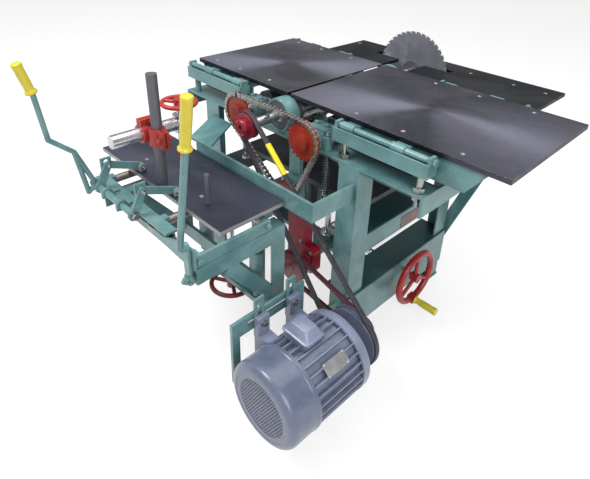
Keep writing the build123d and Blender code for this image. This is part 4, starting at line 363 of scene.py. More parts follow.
def makeFinish(name, skin, on=(), wear=0.5, grimeAndShade=0.6, bump=0.25, corner=0.0008, coat=0.0, other=None,
               area=None, keepOut=None, swirl=0.0, flank=0.0, metal=None, axis="Z"):
    # one finish, or two on one piece: the other shows inside area, outside keepOut
    material = bpy.data.materials.new(name)
    material.use_nodes = True
    tree = material.node_tree
    tree.nodes.clear()
    base = metals[skin[0]]
    shader = put(tree, "ShaderNodeBsdfPrincipled", [
        ("Metallic", base if metal is None else metal), ("Coat Weight", coat),
        ("Coat Roughness", surface["coatRough"])])
    first = placeSkin(tree, *skin)
    color, rough, height = first["Color"], first["Roughness"], first["Height"]
    if other is not None:
        mask = findArea(tree, area)
        if keepOut is not None:
            mask = calc(tree, "SUBTRACT", mask, findArea(tree, keepOut), clamp=True)
        second = placeSkin(tree, *other)
        color = mixColor(tree, mask, color, second["Color"])
        rough = mixValue(tree, mask, rough, second["Roughness"])
        height = mixValue(tree, mask, height, second["Height"])
        change = metals[other[0]] - base
        if change:
            tree.links.new(calc(tree, "MULTIPLY_ADD", mask, change, base), shader.inputs["Metallic"])
    if flank:
        # edges of a plate: brighter than its face as bare machined edges, or darkened with painted shade
        # where flank is below zero
        normal = put(tree, "ShaderNodeNewGeometry").outputs["Normal"]
        level = put(tree, "ShaderNodeSeparateXYZ", [(0, normal)]).outputs[2]
        side = spread(tree, level, surface["flankLevel"], (0.0, abs(flank)))
        color = mixColor(tree, side, color, dirtAndShade["edge" if flank > 0 else "shade"])
    if wear:
        reach = surface["wearReach"] * corner
        worn = placeGroup(tree, edgeWear, {"Radius": reach, "Patch": surface["wearPatch"]})["Mask"]
        color = mixColor(tree, calc(tree, "MULTIPLY", worn, wear), color, dirtAndShade["wear"])
    # grime and painted shade: corners found by ambient occlusion are darkened
    if grimeAndShade:
        pockets = {"Reach": surface["grimeShadeReach"], "Patch": surface["grimeShadePatch"]}
        dustAndShade = calc(tree, "MULTIPLY", placeGroup(tree, creviceGrimeAndShade, pockets)["Mask"], grimeAndShade)
        color = mixColor(tree, dustAndShade, color, dirtAndShade["grimeAndShade"])
        rough = mixValue(tree, dustAndShade, rough, surface["grimeShadeRough"])
    rounded = put(tree, "ShaderNodeBevel", [("Radius", corner)], samples=cornerSamples).outputs[0]
    bumped = put(tree, "ShaderNodeBump", [
        ("Strength", bump), ("Distance", surface["bumpDepth"]), ("Height", height),
        ("Normal", rounded)]).outputs[0]
    for label, value in (("Base Color", color), ("Roughness", rough), ("Normal", bumped)):
        tree.links.new(value, shader.inputs[label])
    if swirl:
        shader.inputs["Anisotropic"].default_value = swirl
        around = put(tree, "ShaderNodeTangent", direction_type="RADIAL", axis=axis)
        tree.links.new(around.outputs[0], shader.inputs["Tangent"])
    put(tree, "ShaderNodeOutputMaterial", [(0, shader.outputs[0])])
    for member in on:
        nodes[member].data.materials.clear()
        nodes[member].data.materials.append(material)
    return material


green = dict(skin=("paint", "frameGreen"), coat=0.25)
# a flank below zero gives the tables' side faces painted shade
tableFace = dict(wear=0.9, grimeAndShade=0.3, bump=0.1, swirl=0.65, flank=-0.7)
rubber = dict(wear=0.2, grimeAndShade=0.3, bump=0.2, corner=0.0005)
turnedSteel = dict(skin=("steel", "bright"), wear=0.2, grimeAndShade=0.5, bump=0.1)
finishSettings = {
    "frameGreen": dict(green, on=[
        "legs", "top_frame", "outrigger", "bearing_housings", "motor_mount", "saw_table_supports",
        "infeed_skirts", "outfeed_skirts", "saw_strut", "plunge_lever", "plunge_links", "traverse_lever",
        "outfeed_beams"]),
    # painted shade on the end panels' folded tops, above the panels' top edge
    "panelShadedFold": dict(green, other=("paint", "foldShadeGreen"), area=[beyond(up, z=179.6)], on=["end_panels"]),
    "foldShadeGreen": dict(skin=("paint", "foldShadeGreen"), wear=0.4),
    # the motor body and terminal box take the lightened grey of painted light
    "motorGreyLit": dict(skin=("paint", "motorGreyLit"), wear=0.3, coat=0.3, on=["motor_body", "motor_terminal_box"]),
    "motorGrey": dict(skin=("paint", "motorGrey"), wear=0.3, coat=0.3, on=["motor_fan_cowl", "motor_pulley"]),
    "sprocketOrange": dict(skin=("paint", "sprocketOrange"), wear=0.9, corner=0.0005,
                           on=["infeed_sprocket", "outfeed_sprocket", "drive_sprocket"]),
    "driveCrimson": dict(skin=("paint", "driveCrimson"), wear=0.4, coat=0.3,
                         on=["spindle_pulley", "mortise_chuck", "feed_pulley"]),
    "clampRed": dict(skin=("paint", "clampRed"), wear=0.35, bump=0.4, on=["clamp_casting", "clamp_pad"]),
    "brightSteel": dict(turnedSteel, on=["spindle_bearings", "cutterblock", "planer_knives", "bed_screw",
                                         "clamp_bar"]),
    "darkPost": dict(skin=("steel", "darkPost"), grimeAndShade=0.4, bump=0.1, metal=0.4,
                     on=["clamp_post", "saw_flanges"]),
    "springGreen": dict(skin=("paint", "springGreen"), wear=0.3, corner=0.0003, on=["roller_springs"]),
    "chainSteel": dict(skin=("steel", "chain"), wear=0.6, grimeAndShade=0.9, bump=0.2, corner=0.0003,
                       on=["feed_chain"]),
    "zincSteel": dict(skin=("steel", "zinc"), wear=0.0, grimeAndShade=0.7, bump=0.15, corner=0.0004,
                      on=["jack_nuts"]),
    "bladeSteel": dict(skin=("steel", "blade"), wear=0.0, grimeAndShade=0.0, bump=0.02, corner=0.0003, swirl=0.6,
                       metal=0.7, axis="Y", on=["saw_blade"]),
    "plateMetal": dict(skin=("steel", "plate"), wear=0.0, grimeAndShade=0.2, bump=0.05, corner=0.0003),
    "infeedTop": dict(tableFace, skin=("plate", "infeed"), on=["infeed_table"]),
    "outfeedTop": dict(tableFace, skin=("plate", "outfeed"), on=["outfeed_table"]),
    # the saw table's side faces also get painted shade (flank below zero)
    "sawTop": dict(skin=("plate", "sawTop"), wear=0.7, grimeAndShade=0.3, bump=0.1, swirl=0.4, flank=-0.4,
                   on=["saw_table"]),
    "bedTop": dict(skin=("plate", "bed"), wear=0.6, grimeAndShade=0.5, bump=0.1, on=["thicknesser_bed"]),
    "mortiseTop": dict(skin=("plate", "mortise"), wear=0.9, grimeAndShade=0.4, bump=0.12, swirl=0.4, flank=0.6,
                       other=("paint", "frameGreen"), area=[beyond(up, z=504.5)], on=["mortise_table"]),
    "plateBrown": dict(skin=("paint", "plateBrown"), wear=0.0, grimeAndShade=0.3, bump=0.1, corner=0.0003),
    "gearboxFinish": dict(skin=("paint", "driveCrimson"), wear=0.4, coat=0.05, other=("paint", "frameGreen"),
                          area=[beyond(up, z=406.0)], on=["feed_gearbox"]),
    "rollerFinish": dict(turnedSteel, other=("paint", "sprocketOrange"), area=[beyond(forward, y=-73.8)],
                         on=["infeed_roller", "outfeed_roller"]),
    "beltRubber": dict(rubber, skin=("mould", "belt"), on=["main_belt"]),
    "feedBeltRubber": dict(rubber, skin=("mould", "feedBelt"), on=["feed_belt"]),
    "gripYellow": dict(skin=("mould", "grip"), wear=0.0, grimeAndShade=0.25, bump=0.1, coat=0.3,
                       on=["plunge_grip", "traverse_grip", "bed_crank_grip"]),
    "bandYellow": dict(skin=("mould", "band"), wear=0.0, grimeAndShade=0.15, bump=0.1),
    "kneeFinish": dict(green, other=("steel", "crossBar"), on=["knee"],
                       area=[barAt(alongX, 9.3, y=y, z=472.0) for y in (-428.0, -246.0)],
                       keepOut=[beyond(right, x=189.5), beyond(left, x=-189.5)]),
    "carriageFinish": dict(green, other=("steel", "crossBar"), on=["carriage"],
                           area=[barAt(alongY, 10.3, x=x, z=479.0) for x in (-205.0, 40.0)]),
    "postsFinish": dict(green, other=("steel", "darkPost"), on=["guide_posts"],
                        area=[barAt(alongZ, 12.8, x=x, y=-205.0) for x in (-110.0, 110.0)]),
    "barsFinish": dict(green, other=("steel", "bright"), on=["frame_bars"],
                       area=[barAt(alongZ, 15.3, x=-21.0, y=y) for y in (125.0, 295.0)]),
    "blocksFinish": dict(green, other=("steel", "zinc"), area=[beyond(down, z=572.0)], on=["roller_blocks"]),
    "beamsFinish": dict(green, other=("steel", "zinc"), area=[beyond(down, z=618.5)], on=["infeed_beams"]),
    "crankFinish": dict(skin=("paint", "wheelRed"), wear=0.3, other=("steel", "bright"),
                        area=[beyond(left, x=317.5)], on=["bed_handwheel"]),
    "liftFinish": dict(skin=("paint", "wheelMaroon"), wear=0.3, other=("steel", "bright"),
                       area=[beyond(up, z=173.5)], on=["lift_handwheel"]),
    "clampWheelFinish": dict(skin=("paint", "clampRed"), wear=0.3, other=("steel", "bright"),
                             area=[beyond(down, z=669.5)], on=["clamp_screw"]),
    "rotorFinish": dict(skin=("steel", "bright"), other=("mould", "fan"), area=[beyond(forward, y=-372.0)],
                        on=["motor_shaft"]),
}
finishes = {name: makeFinish(name, **settings) for name, settings in finishSettings.items()}
print("finishes ready:", len(finishes))
print("nodes finished:", sum(len(settings.get("on", ())) for settings in finishSettings.values()))


# Mesh tools

weldGap = 1e-7


def polar(radius, angle):
    return radius * math.cos(angle), radius * math.sin(angle)


def seat(x, y, z, way=up, spin=0.0):
    # local millimetres, with Z along the way that the piece points
    turn = Vector(way).to_track_quat("Z", "Y").to_matrix().to_4x4()
    return Matrix.Translation(spot(x, y, z)) @ turn @ Matrix.Rotation(spin, 4, "Z") @ Matrix.Scale(mm, 4)


def ring(bm, matrix, radius, height, sides):
    if radius <= 0:
        return [bm.verts.new(matrix @ Vector((0, 0, height)))]
    angles = [fullTurn * step / sides for step in range(sides)]
    return [bm.verts.new(matrix @ Vector((*polar(radius, angle), height))) for angle in angles]


def join(bm, low, high, closed=True):
    # a strip of faces between two rows of points, either of which may be a single point
    count = max(len(low), len(high))
    for step in range(count if closed else count - 1):
        corners = []
        for row, index in ((low, step), (low, step + 1), (high, step + 1), (high, step)):
            point = row[index % len(row)]
            if point not in corners:
                corners.append(point)
        if len(corners) > 2:
            bm.faces.new(corners)


def skinRows(bm, rows, ends=False):
    # faces from row to row, and flat ends where they are asked for
    for low, high in zip(rows, rows[1:]):
        join(bm, low, high)
    if ends:
        bm.faces.new(rows[0])
        bm.faces.new(rows[-1])


def turned(bm, matrix, profile, sides=28):
    # a round piece from (radius, height) pairs
    skinRows(bm, [ring(bm, matrix, radius, height, sides) for radius, height in profile])


def drum(radius, low, high, lowCut, highCut):
    # the profile of a solid round piece with its edges cut back
    return [(0, low), (radius - lowCut, low), (radius, low + lowCut), (radius, high - highCut),
            (radius - highCut, high), (0, high)]


def roundBend(radius, height, bend, steps, first=0):
    # points of a profile that bends from its side to its face
    angles = [math.pi / 2 * part / steps for part in range(first, steps + 1)]
    return [(radius - bend + bend * math.cos(a), height - bend + bend * math.sin(a)) for a in angles]


def slab(bm, matrix, outline, low, high, bevel=0.0):
    # a flat piece from an outline, with its top edge cut back
    rows = []
    middle = Vector((sum(p[0] for p in outline), sum(p[1] for p in outline))) / len(outline)
    for height, shrink in ((low, 0.0), (high - bevel, 0.0), (high, bevel)):
        row = []
        for corner in outline:
            way = Vector(corner) - middle
            point = Vector(corner) - way.normalized() * shrink
            row.append(bm.verts.new(matrix @ Vector((point.x, point.y, height))))
        rows.append(row)
    skinRows(bm, rows, ends=True)


def makePiece(name, bm, finish, body, angle=32.0, node=None):
    # a piece that rides on a body, and may stand for a node's plain solid
    bmesh.ops.remove_doubles(bm, verts=bm.verts, dist=weldGap)
    bmesh.ops.recalc_face_normals(bm, faces=bm.faces)
    mesh = bpy.data.meshes.new(name)
    bm.to_mesh(mesh)
    bm.free()
    for polygon in mesh.polygons:
        polygon.use_smooth = True
    mesh.set_sharp_from_angle(angle=math.radians(angle))
    mesh.materials.append(finishes[finish])
    piece = bpy.data.objects.new(name, mesh)
    scene.collection.objects.link(piece)
    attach(piece, body)
    if node is not None:
        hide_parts(node)


# Belts and chain; a wheel is its x, its z and its radius or, for the chain, its teeth

vBelt = {"height": 8.0, "topWidth": 13.0, "footWidth": 8.5, "crown": 0.5, "flank": 0.82, "shoulder": 1.2,
         "arcStep": 6.0, "arcLeast": 6, "runStep": 40.0, "runLeast": 2, "crease": 40.0}
mainDrive = {"plane": -140.0, "wheels": [(0.0, spindleHeight, 30.0), (motorX, motorZ, 70.0)]}
feedDrive = {"plane": -102.0, "wheels": [(137.0, 244.0, 40.0), (motorX, motorZ, 26.0)]}
band = {"start": 0.125, "end": 0.275, "skin": 0.35, "steps": 4}
chainLine = {"plane": -70.0, "pitch": 12.7,
             "wheels": [(-125.0, 600.0, 24), (67.0, 432.0, 14), (125.0, 600.0, 24)],
             "roller": 4.2, "rollerCut": 0.4, "rollerSides": 12, "pin": 2.1, "pinHalf": 7.5, "pinCut": 0.5,
             "pinSides": 10, "plateEnd": 5.8, "plateWaist": 4.1, "plateCut": 0.25, "innerPlate": (4.2, 5.5),
             "outerPlate": (5.7, 7.0), "endSteps": 8}


def outerRun(one, two):
    # where a band leaves one wheel and reaches the next, going round anticlockwise
    gap = Vector((two[0] - one[0], two[1] - one[1]))
    along = gap.normalized()
    lean = (one[2] - two[2]) / gap.length
    out = math.sqrt(1 - lean * lean)
    normal = Vector((along.x * lean + along.y * out, along.y * lean - along.x * out))
    return Vector(one[:2]) + normal * one[2], Vector(two[:2]) + normal * two[2], normal


def outerRuns(wheels):
    return [outerRun(one, two) for one, two in zip(wheels, wheels[1:] + wheels[:1])]


def wrapAngles(runs, index):
    # where a band meets a wheel, and how far it goes round
    before, after = (math.atan2(runs[place][2].y, runs[place][2].x) for place in (index - 1, index))
    return before, (after - before) % fullTurn


def loopPoints(wheels):
    # points and outward ways round a set of wheels
    runs = outerRuns(wheels)
    points = []
    for index, wheel in enumerate(wheels):
        before, sweep = wrapAngles(runs, index)
        count = max(vBelt["arcLeast"], int(sweep * wheel[2] / vBelt["arcStep"]))
        for part in range(count + 1):
            way = Vector(polar(1.0, before + sweep * part / count))
            points.append((Vector(wheel[:2]) + way * wheel[2], way))
        start, end, normal = runs[index]
        pieces = max(vBelt["runLeast"], int((end - start).length / vBelt["runStep"]))
        points += [(start.lerp(end, part / pieces), normal) for part in range(1, pieces)]
    return points


def beltSection(skin=0.0):
    # across the belt: (offset from its plane, height above its foot)
    foot, top = vBelt["footWidth"] / 2 + skin, vBelt["topWidth"] / 2 + skin
    tall = vBelt["height"] + skin
    edge, side, flat = tall * vBelt["flank"], tall - vBelt["crown"], top - vBelt["shoulder"]
    return [(-foot, -skin), (foot, -skin), (top, edge), (top, side), (flat, tall), (-flat, tall),
            (-top, side), (-top, edge)]


def beltRow(bm, drive, point, way, section):
    places = [(point + way * height, offset) for offset, height in section]
    return [bm.verts.new(spot(place.x, drive["plane"] + offset, place.y)) for place, offset in places]


def makeBelt(name, drive, finish, node):
    bm = bmesh.new()
    rows = [beltRow(bm, drive, point, way, beltSection()) for point, way in loopPoints(drive["wheels"])]
    skinRows(bm, rows + rows[:1])
    makePiece(name, bm, finish, "frame", vBelt["crease"], node)


def makeBand(drive):
    # a plain band wrapped round the belt's upper run
    bm = bmesh.new()
    end, start, normal = outerRun(drive["wheels"][1], drive["wheels"][0])
    steps, length = band["steps"], band["end"] - band["start"]
    shares = [band["start"] + length * part / steps for part in range(steps + 1)]
    section = beltSection(band["skin"])
    skinRows(bm, [beltRow(bm, drive, start.lerp(end, share), normal, section) for share in shares], ends=True)
    makePiece("beltBand", bm, "bandYellow", "frame", vBelt["crease"])


def chainPins():
    # pin places: in the sprockets' tooth gaps, and evenly along the runs between them
    pitch = chainLine["pitch"]
    wheels = [(x, z, pitch / 2 / math.sin(math.pi / teeth), teeth) for x, z, teeth in chainLine["wheels"]]
    runs = outerRuns(wheels)
    engaged = []
    for index, (x, z, radius, teeth) in enumerate(wheels):
        before, sweep = wrapAngles(runs, index)
        step = fullTurn / teeth
        angle = math.ceil(before / step) * step
        seats = []
        while angle <= before + sweep:
            outX, outZ = polar(radius, angle)
            seats.append(Vector((x + outX, z + outZ)))
            angle += step
        engaged.append(seats)
    pins = []
    for index, seats in enumerate(engaged):
        pins.extend(seats)
        start, end = seats[-1], engaged[(index + 1) % len(engaged)][0]
        count = round((end - start).length / pitch)
        pins.extend(start.lerp(end, part / count) for part in range(1, count))
    return pins


def linkOutline(length):
    # a waisted plate with two round ends
    points = []
    steps = chainLine["endSteps"]
    for centre, side in ((length, 1), (0.0, -1)):
        for part in range(steps + 1):
            x, y = polar(chainLine["plateEnd"], math.pi * part / steps - side * math.pi / 2)
            points.append((centre + x, y))
        points.append((length / 2, side * chainLine["plateWaist"]))
    return points


def makeChain():
    bm = bmesh.new()
    pins = chainPins()
    plane, cut, half = chainLine["plane"], chainLine["plateCut"], chainLine["innerPlate"][0]
    roller = drum(chainLine["roller"], -half, half, chainLine["rollerCut"], chainLine["rollerCut"])
    pinHalf, pinCut = chainLine["pinHalf"], chainLine["pinCut"]
    rod = drum(chainLine["pin"], -pinHalf, pinHalf, pinCut, pinCut)
    for index, pin in enumerate(pins):
        run = pins[(index + 1) % len(pins)] - pin
        runX, runZ = run.x / run.length, run.y / run.length
        low, high = chainLine["innerPlate"] if index % 2 else chainLine["outerPlate"]
        turn = Matrix(((runX, -runZ, 0, 0), (0, 0, -1, 0), (runZ, runX, 0, 0), (0, 0, 0, 1)))
        place = Matrix.Translation(spot(pin.x, plane, pin.y)) @ turn @ Matrix.Scale(mm, 4)
        outline = linkOutline(run.length)
        slab(bm, place, outline, low, high, cut)
        slab(bm, place, outline, -high, -low, cut)
        turned(bm, seat(pin.x, plane, pin.y, rearward), roller, chainLine["rollerSides"])
        turned(bm, seat(pin.x, plane, pin.y, rearward), rod, chainLine["pinSides"])
    makePiece("chainLinks", bm, "chainSteel", "frame", node="feed_chain")
    print("chain links:", len(pins))


makeBelt("mainBeltLoop", mainDrive, "beltRubber", "main_belt")
makeBelt("feedBeltLoop", feedDrive, "feedBeltRubber", "feed_belt")
makeBand(mainDrive)
makeChain()
print("belts and chain ready")


# Moulded hand grips

gripShape = {"ledge": 6.0, "collarCut": 1.5, "neckCut": 1.0, "neckRise": 5.0,
             # change of radius, share of length
             "swell": ((-0.3, 0.35), (0.0, 0.6), (-0.2, 0.8), (0.4, 0.88)),
             "flareCut": 0.4, "flareStart": 0.93, "flareEnd": 3.6, "roundCut": 1.0, "roundEnd": 1.5,
             "endCut": 0.6, "endFlat": 0.6, "sides": 40, "crease": 50.0}
leverGrip = {"collar": 13.0, "neck": 9.4, "body": 10.2, "flare": 11.0, "end": 9.0}
crankHandle = {"collar": 12.0, "neck": 9.0, "body": 11.0, "flare": 12.0, "end": 9.0}
grips = {
    "plungeGripMoulded": {"start": (-181.0, -553.5, 747.8), "end": (-181.0, -571.0, 814.1), "grip": leverGrip,
                          "node": "plunge_grip", "body": "plunge_arm"},
    "traverseGripMoulded": {"start": (236.0, -461.0, 745.0), "end": (255.0, -461.0, 847.0), "grip": leverGrip,
                            "node": "traverse_grip", "body": "traverse_arm"},
    "crankGripMoulded": {"start": (341.5, 210.0, 69.0), "end": (415.5, 210.0, 69.0), "grip": crankHandle,
                         "node": "bed_crank_grip", "body": "crank_grip"},
}


def gripProfile(grip, length):
    collar, neck, flare, end = (grip[key] for key in ("collar", "neck", "flare", "end"))
    ledge, cut, step = gripShape["ledge"], gripShape["collarCut"], gripShape["neckCut"]
    profile = [(0, 0), (collar - cut, 0), (collar, cut), (collar, ledge - cut), (collar - cut, ledge),
               (neck + step, ledge + step), (neck, ledge + gripShape["neckRise"])]
    profile += [(grip["body"] + change, length * share) for change, share in gripShape["swell"]]
    profile += [(flare - gripShape["flareCut"], length * gripShape["flareStart"]),
                (flare, length - gripShape["flareEnd"]),
                (flare - gripShape["roundCut"], length - gripShape["roundEnd"])]
    return profile + [(end, length - gripShape["endCut"]), (end * gripShape["endFlat"], length), (0, length)]


def makeGrip(name, start, end, grip, node, body):
    bm = bmesh.new()
    run = Vector(end) - Vector(start)
    turned(bm, seat(*start, way=run), gripProfile(grip, run.length), gripShape["sides"])
    makePiece(name, bm, "gripYellow", body, gripShape["crease"], node)


for name, settings in grips.items():
    makeGrip(name, **settings)
print("grips ready")


# Fan cowl with its pierced face, and the motor's small parts

cowl = {"back": -347.0, "front": -425.0, "radius": 100.0, "wall": 2.5, "thinWall": 0.7, "bend": 17.0,
        "bendSteps": 8, "lip": (8.0, 10.0), "lipStep": 1.2, "taper": 1.5, "straight": 6.0, "rim": 79.0,
        "rimCut": 2.0, "sink": 1.2, "lap": 8.0, "sides": 96, "crease": 28.0}
grille = {"radius": 74.0, "pitch": 6.4, "hole": 2.2, "margin": 0.3, "sink": 1.0, "dome": 1.6,
          "thick": 1.4, "weld": 2e-5, "crease": 40.0}
cowlLength = cowl["back"] - cowl["front"]


def makeCowl():
    bm = bmesh.new()
    length, radius, bend, wall = cowlLength, cowl["radius"], cowl["bend"], cowl["wall"]
    side, face, rim = radius - cowl["taper"], length - cowl["sink"], cowl["rim"]
    outer = [(radius, 0), (radius, cowl["lip"][0]), (radius - cowl["lipStep"], cowl["lip"][1]),
             (side, length - bend - cowl["straight"])]
    outer += roundBend(side, length, bend, cowl["bendSteps"])
    outer += [(rim, length), (rim - cowl["rimCut"], face), (grille["radius"] - cowl["lap"], face)]
    start, thin = length - bend, wall * cowl["thinWall"]
    inner = [(r - wall if h < start else r - thin, h - wall if h > start else h) for r, h in outer]
    turned(bm, seat(motorX, cowl["back"], motorZ, forward), outer + inner[::-1] + [outer[0]], cowl["sides"])
    makePiece("cowlShell", bm, "motorGrey", "frame", cowl["crease"], "motor_fan_cowl")


def makeGrille():
    # six-sided cells with round holes, on a slightly domed face
    bm = bmesh.new()
    matrix = seat(motorX, cowl["back"], motorZ, forward)
    pitch, reach = grille["pitch"], grille["radius"]
    rows = int(reach / (pitch * math.sqrt(3) / 2)) + 1
    face, dome = cowlLength - grille["sink"], grille["dome"]
    # a cell is a hexagon of its corners and the middles of its sides
    cellPoints, cellStep = 12, math.pi / 6
    for row, column in product(range(-rows, rows + 1), repeat=2):
        x, y = (column + (row % 2) / 2) * pitch, row * pitch * math.sqrt(3) / 2
        if math.hypot(x, y) > reach - pitch * grille["margin"]:
            continue
        level = face + dome * (1 - (x * x + y * y) / reach ** 2) - dome
        edge, hole = [], []
        for corner in range(cellPoints):
            angle = cellStep * corner
            far = pitch / 2 / math.cos(cellStep) if corner % 2 else pitch / 2
            for points, radius in ((edge, far), (hole, grille["hole"])):
                outX, outY = polar(radius, angle)
                points.append(bm.verts.new(matrix @ Vector((x + outX, y + outY, level))))
        join(bm, edge, hole)
    bmesh.ops.remove_doubles(bm, verts=bm.verts, dist=grille["weld"])
    bmesh.ops.solidify(bm, geom=bm.faces[:], thickness=grille["thick"] * mm)
    makePiece("cowlGrille", bm, "motorGrey", "frame", grille["crease"])


motorPlate = {"angle": 46.0, "y": (-309.0, -244.0), "half": 8.8, "radius": 97.6, "thick": 0.8, "steps": 8,
              "rivetInset": 5.0, "rivetShare": 0.82,
              "rivet": ((2.0, -0.3), (2.0, 0.4), (1.4, 1.0), (0.0, 1.2))}
rivetSides = 12


def makeMotorPlate():
    # a blank plate bent over the fins, on four rivets
    bm = bmesh.new()
    span, middle = math.radians(motorPlate["half"]), math.radians(motorPlate["angle"])
    steps, (front, back) = motorPlate["steps"], motorPlate["y"]
    top = motorPlate["radius"] + motorPlate["thick"]
    angles = [middle - span + 2 * span * part / steps for part in range(steps + 1)]
    rows = []
    for radius, y in product((motorPlate["radius"], top), (front, back)):
        places = [polar(radius, angle) for angle in angles]
        rows.append([bm.verts.new(spot(motorX + x, y, motorZ + z)) for x, z in places])
    for first, second in ((0, 1), (2, 3), (0, 2), (1, 3)):
        join(bm, rows[first], rows[second], False)
    for end in (0, -1):
        bm.faces.new((rows[0][end], rows[1][end], rows[3][end], rows[2][end]))
    for y, side in product((front + motorPlate["rivetInset"], back - motorPlate["rivetInset"]), (-1, 1)):
        x, z = polar(1.0, middle + side * span * motorPlate["rivetShare"])
        turned(bm, seat(motorX + top * x, y, motorZ + top * z, (x, 0, z)), motorPlate["rivet"], rivetSides)
    makePiece("motorBlankPlate", bm, "plateMetal", "frame")


terminalBox = {"x": 363.0, "y": -291.0, "foot": 287.0, "half": (35.0, 25.0), "seam": 309.0, "lip": 4.5,
               "lipCut": 1.0, "lidHalf": (39.0, 29.0), "lidRise": 0.4, "edge": 2.5, "top": 334.6,
               "topHalf": (22.0, 15.0), "topDrop": 2.0, "corner": 8.0, "cornerSteps": 5, "crease": 35.0}


def roundedRow(bm, matrix, half, grow, height):
    # a rectangle with round corners, as a row of points
    corner, steps = terminalBox["corner"], terminalBox["cornerSteps"]
    row = []
    for quarter, (sideX, sideY) in enumerate(((1, 1), (-1, 1), (-1, -1), (1, -1))):
        for part in range(steps + 1):
            x, y = polar(corner, math.pi / 2 * (quarter + part / steps))
            place = (sideX * (half[0] + grow - corner) + x, sideY * (half[1] + grow - corner) + y, height)
            row.append(bm.verts.new(matrix @ Vector(place)))
    return row


def makeTerminalBox():
    # walls, then a lid with a lip and four sloping sides; each step is a half size, its growth and a height
    box = terminalBox
    bm = bmesh.new()
    matrix = Matrix.Translation(spot(box["x"], box["y"], 0)) @ Matrix.Scale(mm, 4)
    lid, cut, edge = box["lidHalf"], box["lipCut"], box["edge"]
    seam = box["seam"] + box["lip"]
    steps = [(box["half"], 0, box["foot"]), (box["half"], 0, box["seam"]), (lid, 0, box["seam"]),
             (lid, 0, seam - cut), (lid, -cut, seam), (lid, -edge, seam + box["lidRise"]),
             (lid, -2 * edge, seam + edge), (box["topHalf"], edge, box["top"] - box["topDrop"]),
             (box["topHalf"], 0, box["top"])]
    skinRows(bm, [roundedRow(bm, matrix, *step) for step in steps], ends=True)
    # the cover takes the lightened motor grey of painted light
    makePiece("terminalCover", bm, "motorGreyLit", "frame", box["crease"], "motor_terminal_box")


endBell = {"start": -214.0, "length": 28.0, "radius": 98.4, "inner": 67.0, "bend": 11.0, "bendSteps": 6,
           "lap": 6.0, "cut": 1.0, "sides": 72, "crease": 30.0}


def makeEndBell():
    # the motor's end shield, between the fins and the pulley
    bm = bmesh.new()
    radius, bend, length, inner = endBell["radius"], endBell["bend"], endBell["length"], endBell["inner"]
    foot = (radius - endBell["lap"], 0)
    outline = [foot, (radius, endBell["cut"]), (radius, length - bend)]
    outline += roundBend(radius, length, bend, endBell["bendSteps"], 1)
    outline += [(inner, length), (inner, length - endBell["lap"]), foot]
    turned(bm, seat(motorX, endBell["start"], motorZ, rearward), outline, endBell["sides"])
    # the end bell takes the lightened motor grey of painted light
    makePiece("motorEndBell", bm, "motorGreyLit", "frame", endBell["crease"])


makeCowl()
makeGrille()
makeMotorPlate()
makeTerminalBox()
makeEndBell()
print("motor dressed")


# Covers of the spindle's bearings, each a rim round a dark seal

bearingCover = {"front": -38.0, "inner": 19.2, "seal": 38.0, "rim": 44.6, "foot": 0.1, "proud": 3.2,
                "rimCut": 1.0, "sealCut": (0.8, 0.6), "sealLip": 1.4, "sealCrown": (6.0, 1.6),
                "sealEdge": (4.0, 0.7), "sides": 56}


def makeBearingCovers():
    rims, seals = bmesh.new(), bmesh.new()
    inner, seal, rim, foot, proud = (bearingCover[key] for key in ("inner", "seal", "rim", "foot", "proud"))
    cut, (wide, deep) = bearingCover["rimCut"], bearingCover["sealCut"]
    (crown, crownTop), (edge, edgeTop) = bearingCover["sealCrown"], bearingCover["sealEdge"]
    rimProfile = [(seal, foot), (seal, proud - deep), (seal + wide, proud), (rim - cut, proud),
                  (rim, proud - cut), (rim, foot), (seal, foot)]
    sealProfile = [(inner, foot), (inner, bearingCover["sealLip"]), (inner + crown, crownTop),
                   (seal - edge, edgeTop), (seal, edgeTop), (seal, foot), (inner, foot)]
    for y, way in ((bearingCover["front"], forward), (tableDepth - bearingCover["front"], rearward)):
        matrix = seat(0, y, spindleHeight, way)
        turned(rims, matrix, rimProfile, bearingCover["sides"])
        turned(seals, matrix, sealProfile, bearingCover["sides"])
    makePiece("bearingRims", rims, "frameGreen", "frame")
    makePiece("bearingSeals", seals, "darkPost", "frame")


# Collars between the cutterblock and its bearings

blockCollar = {"spans": ((-1.5, 14.0), (371.0, 401.5)), "radius": 36.0, "inner": 18.0, "groove": 2.5,
               "cut": 1.0, "sides": 48}


def makeBlockCollars():
    bm = bmesh.new()
    radius, inner, groove, cut = (blockCollar[key] for key in ("radius", "inner", "groove", "cut"))
    for start, end in blockCollar["spans"]:
        length = end - start
        middle = length / 2
        profile = [(inner, 0), (radius - cut, 0), (radius, cut), (radius, middle - groove),
                   (radius - groove, middle - groove / 2), (radius - groove, middle + groove / 2),
                   (radius, middle + groove), (radius, length - cut), (radius - cut, length),
                   (inner, length), (inner, 0)]
        turned(bm, seat(0, start, spindleHeight, rearward), profile, blockCollar["sides"])
    makePiece("blockCollars", bm, "darkPost", "spindle")


# A blank plate riveted to the end bar

endPlate = {"x": 278.0, "y": 235.0, "z": 329.0, "half": (62.0, 18.0), "gap": 0.05, "thick": 1.2, "cut": 0.3,
            "inset": 5.0, "rivet": ((2.2, -0.2), (2.2, 0.5), (1.32, 1.1), (0.0, 1.3))}


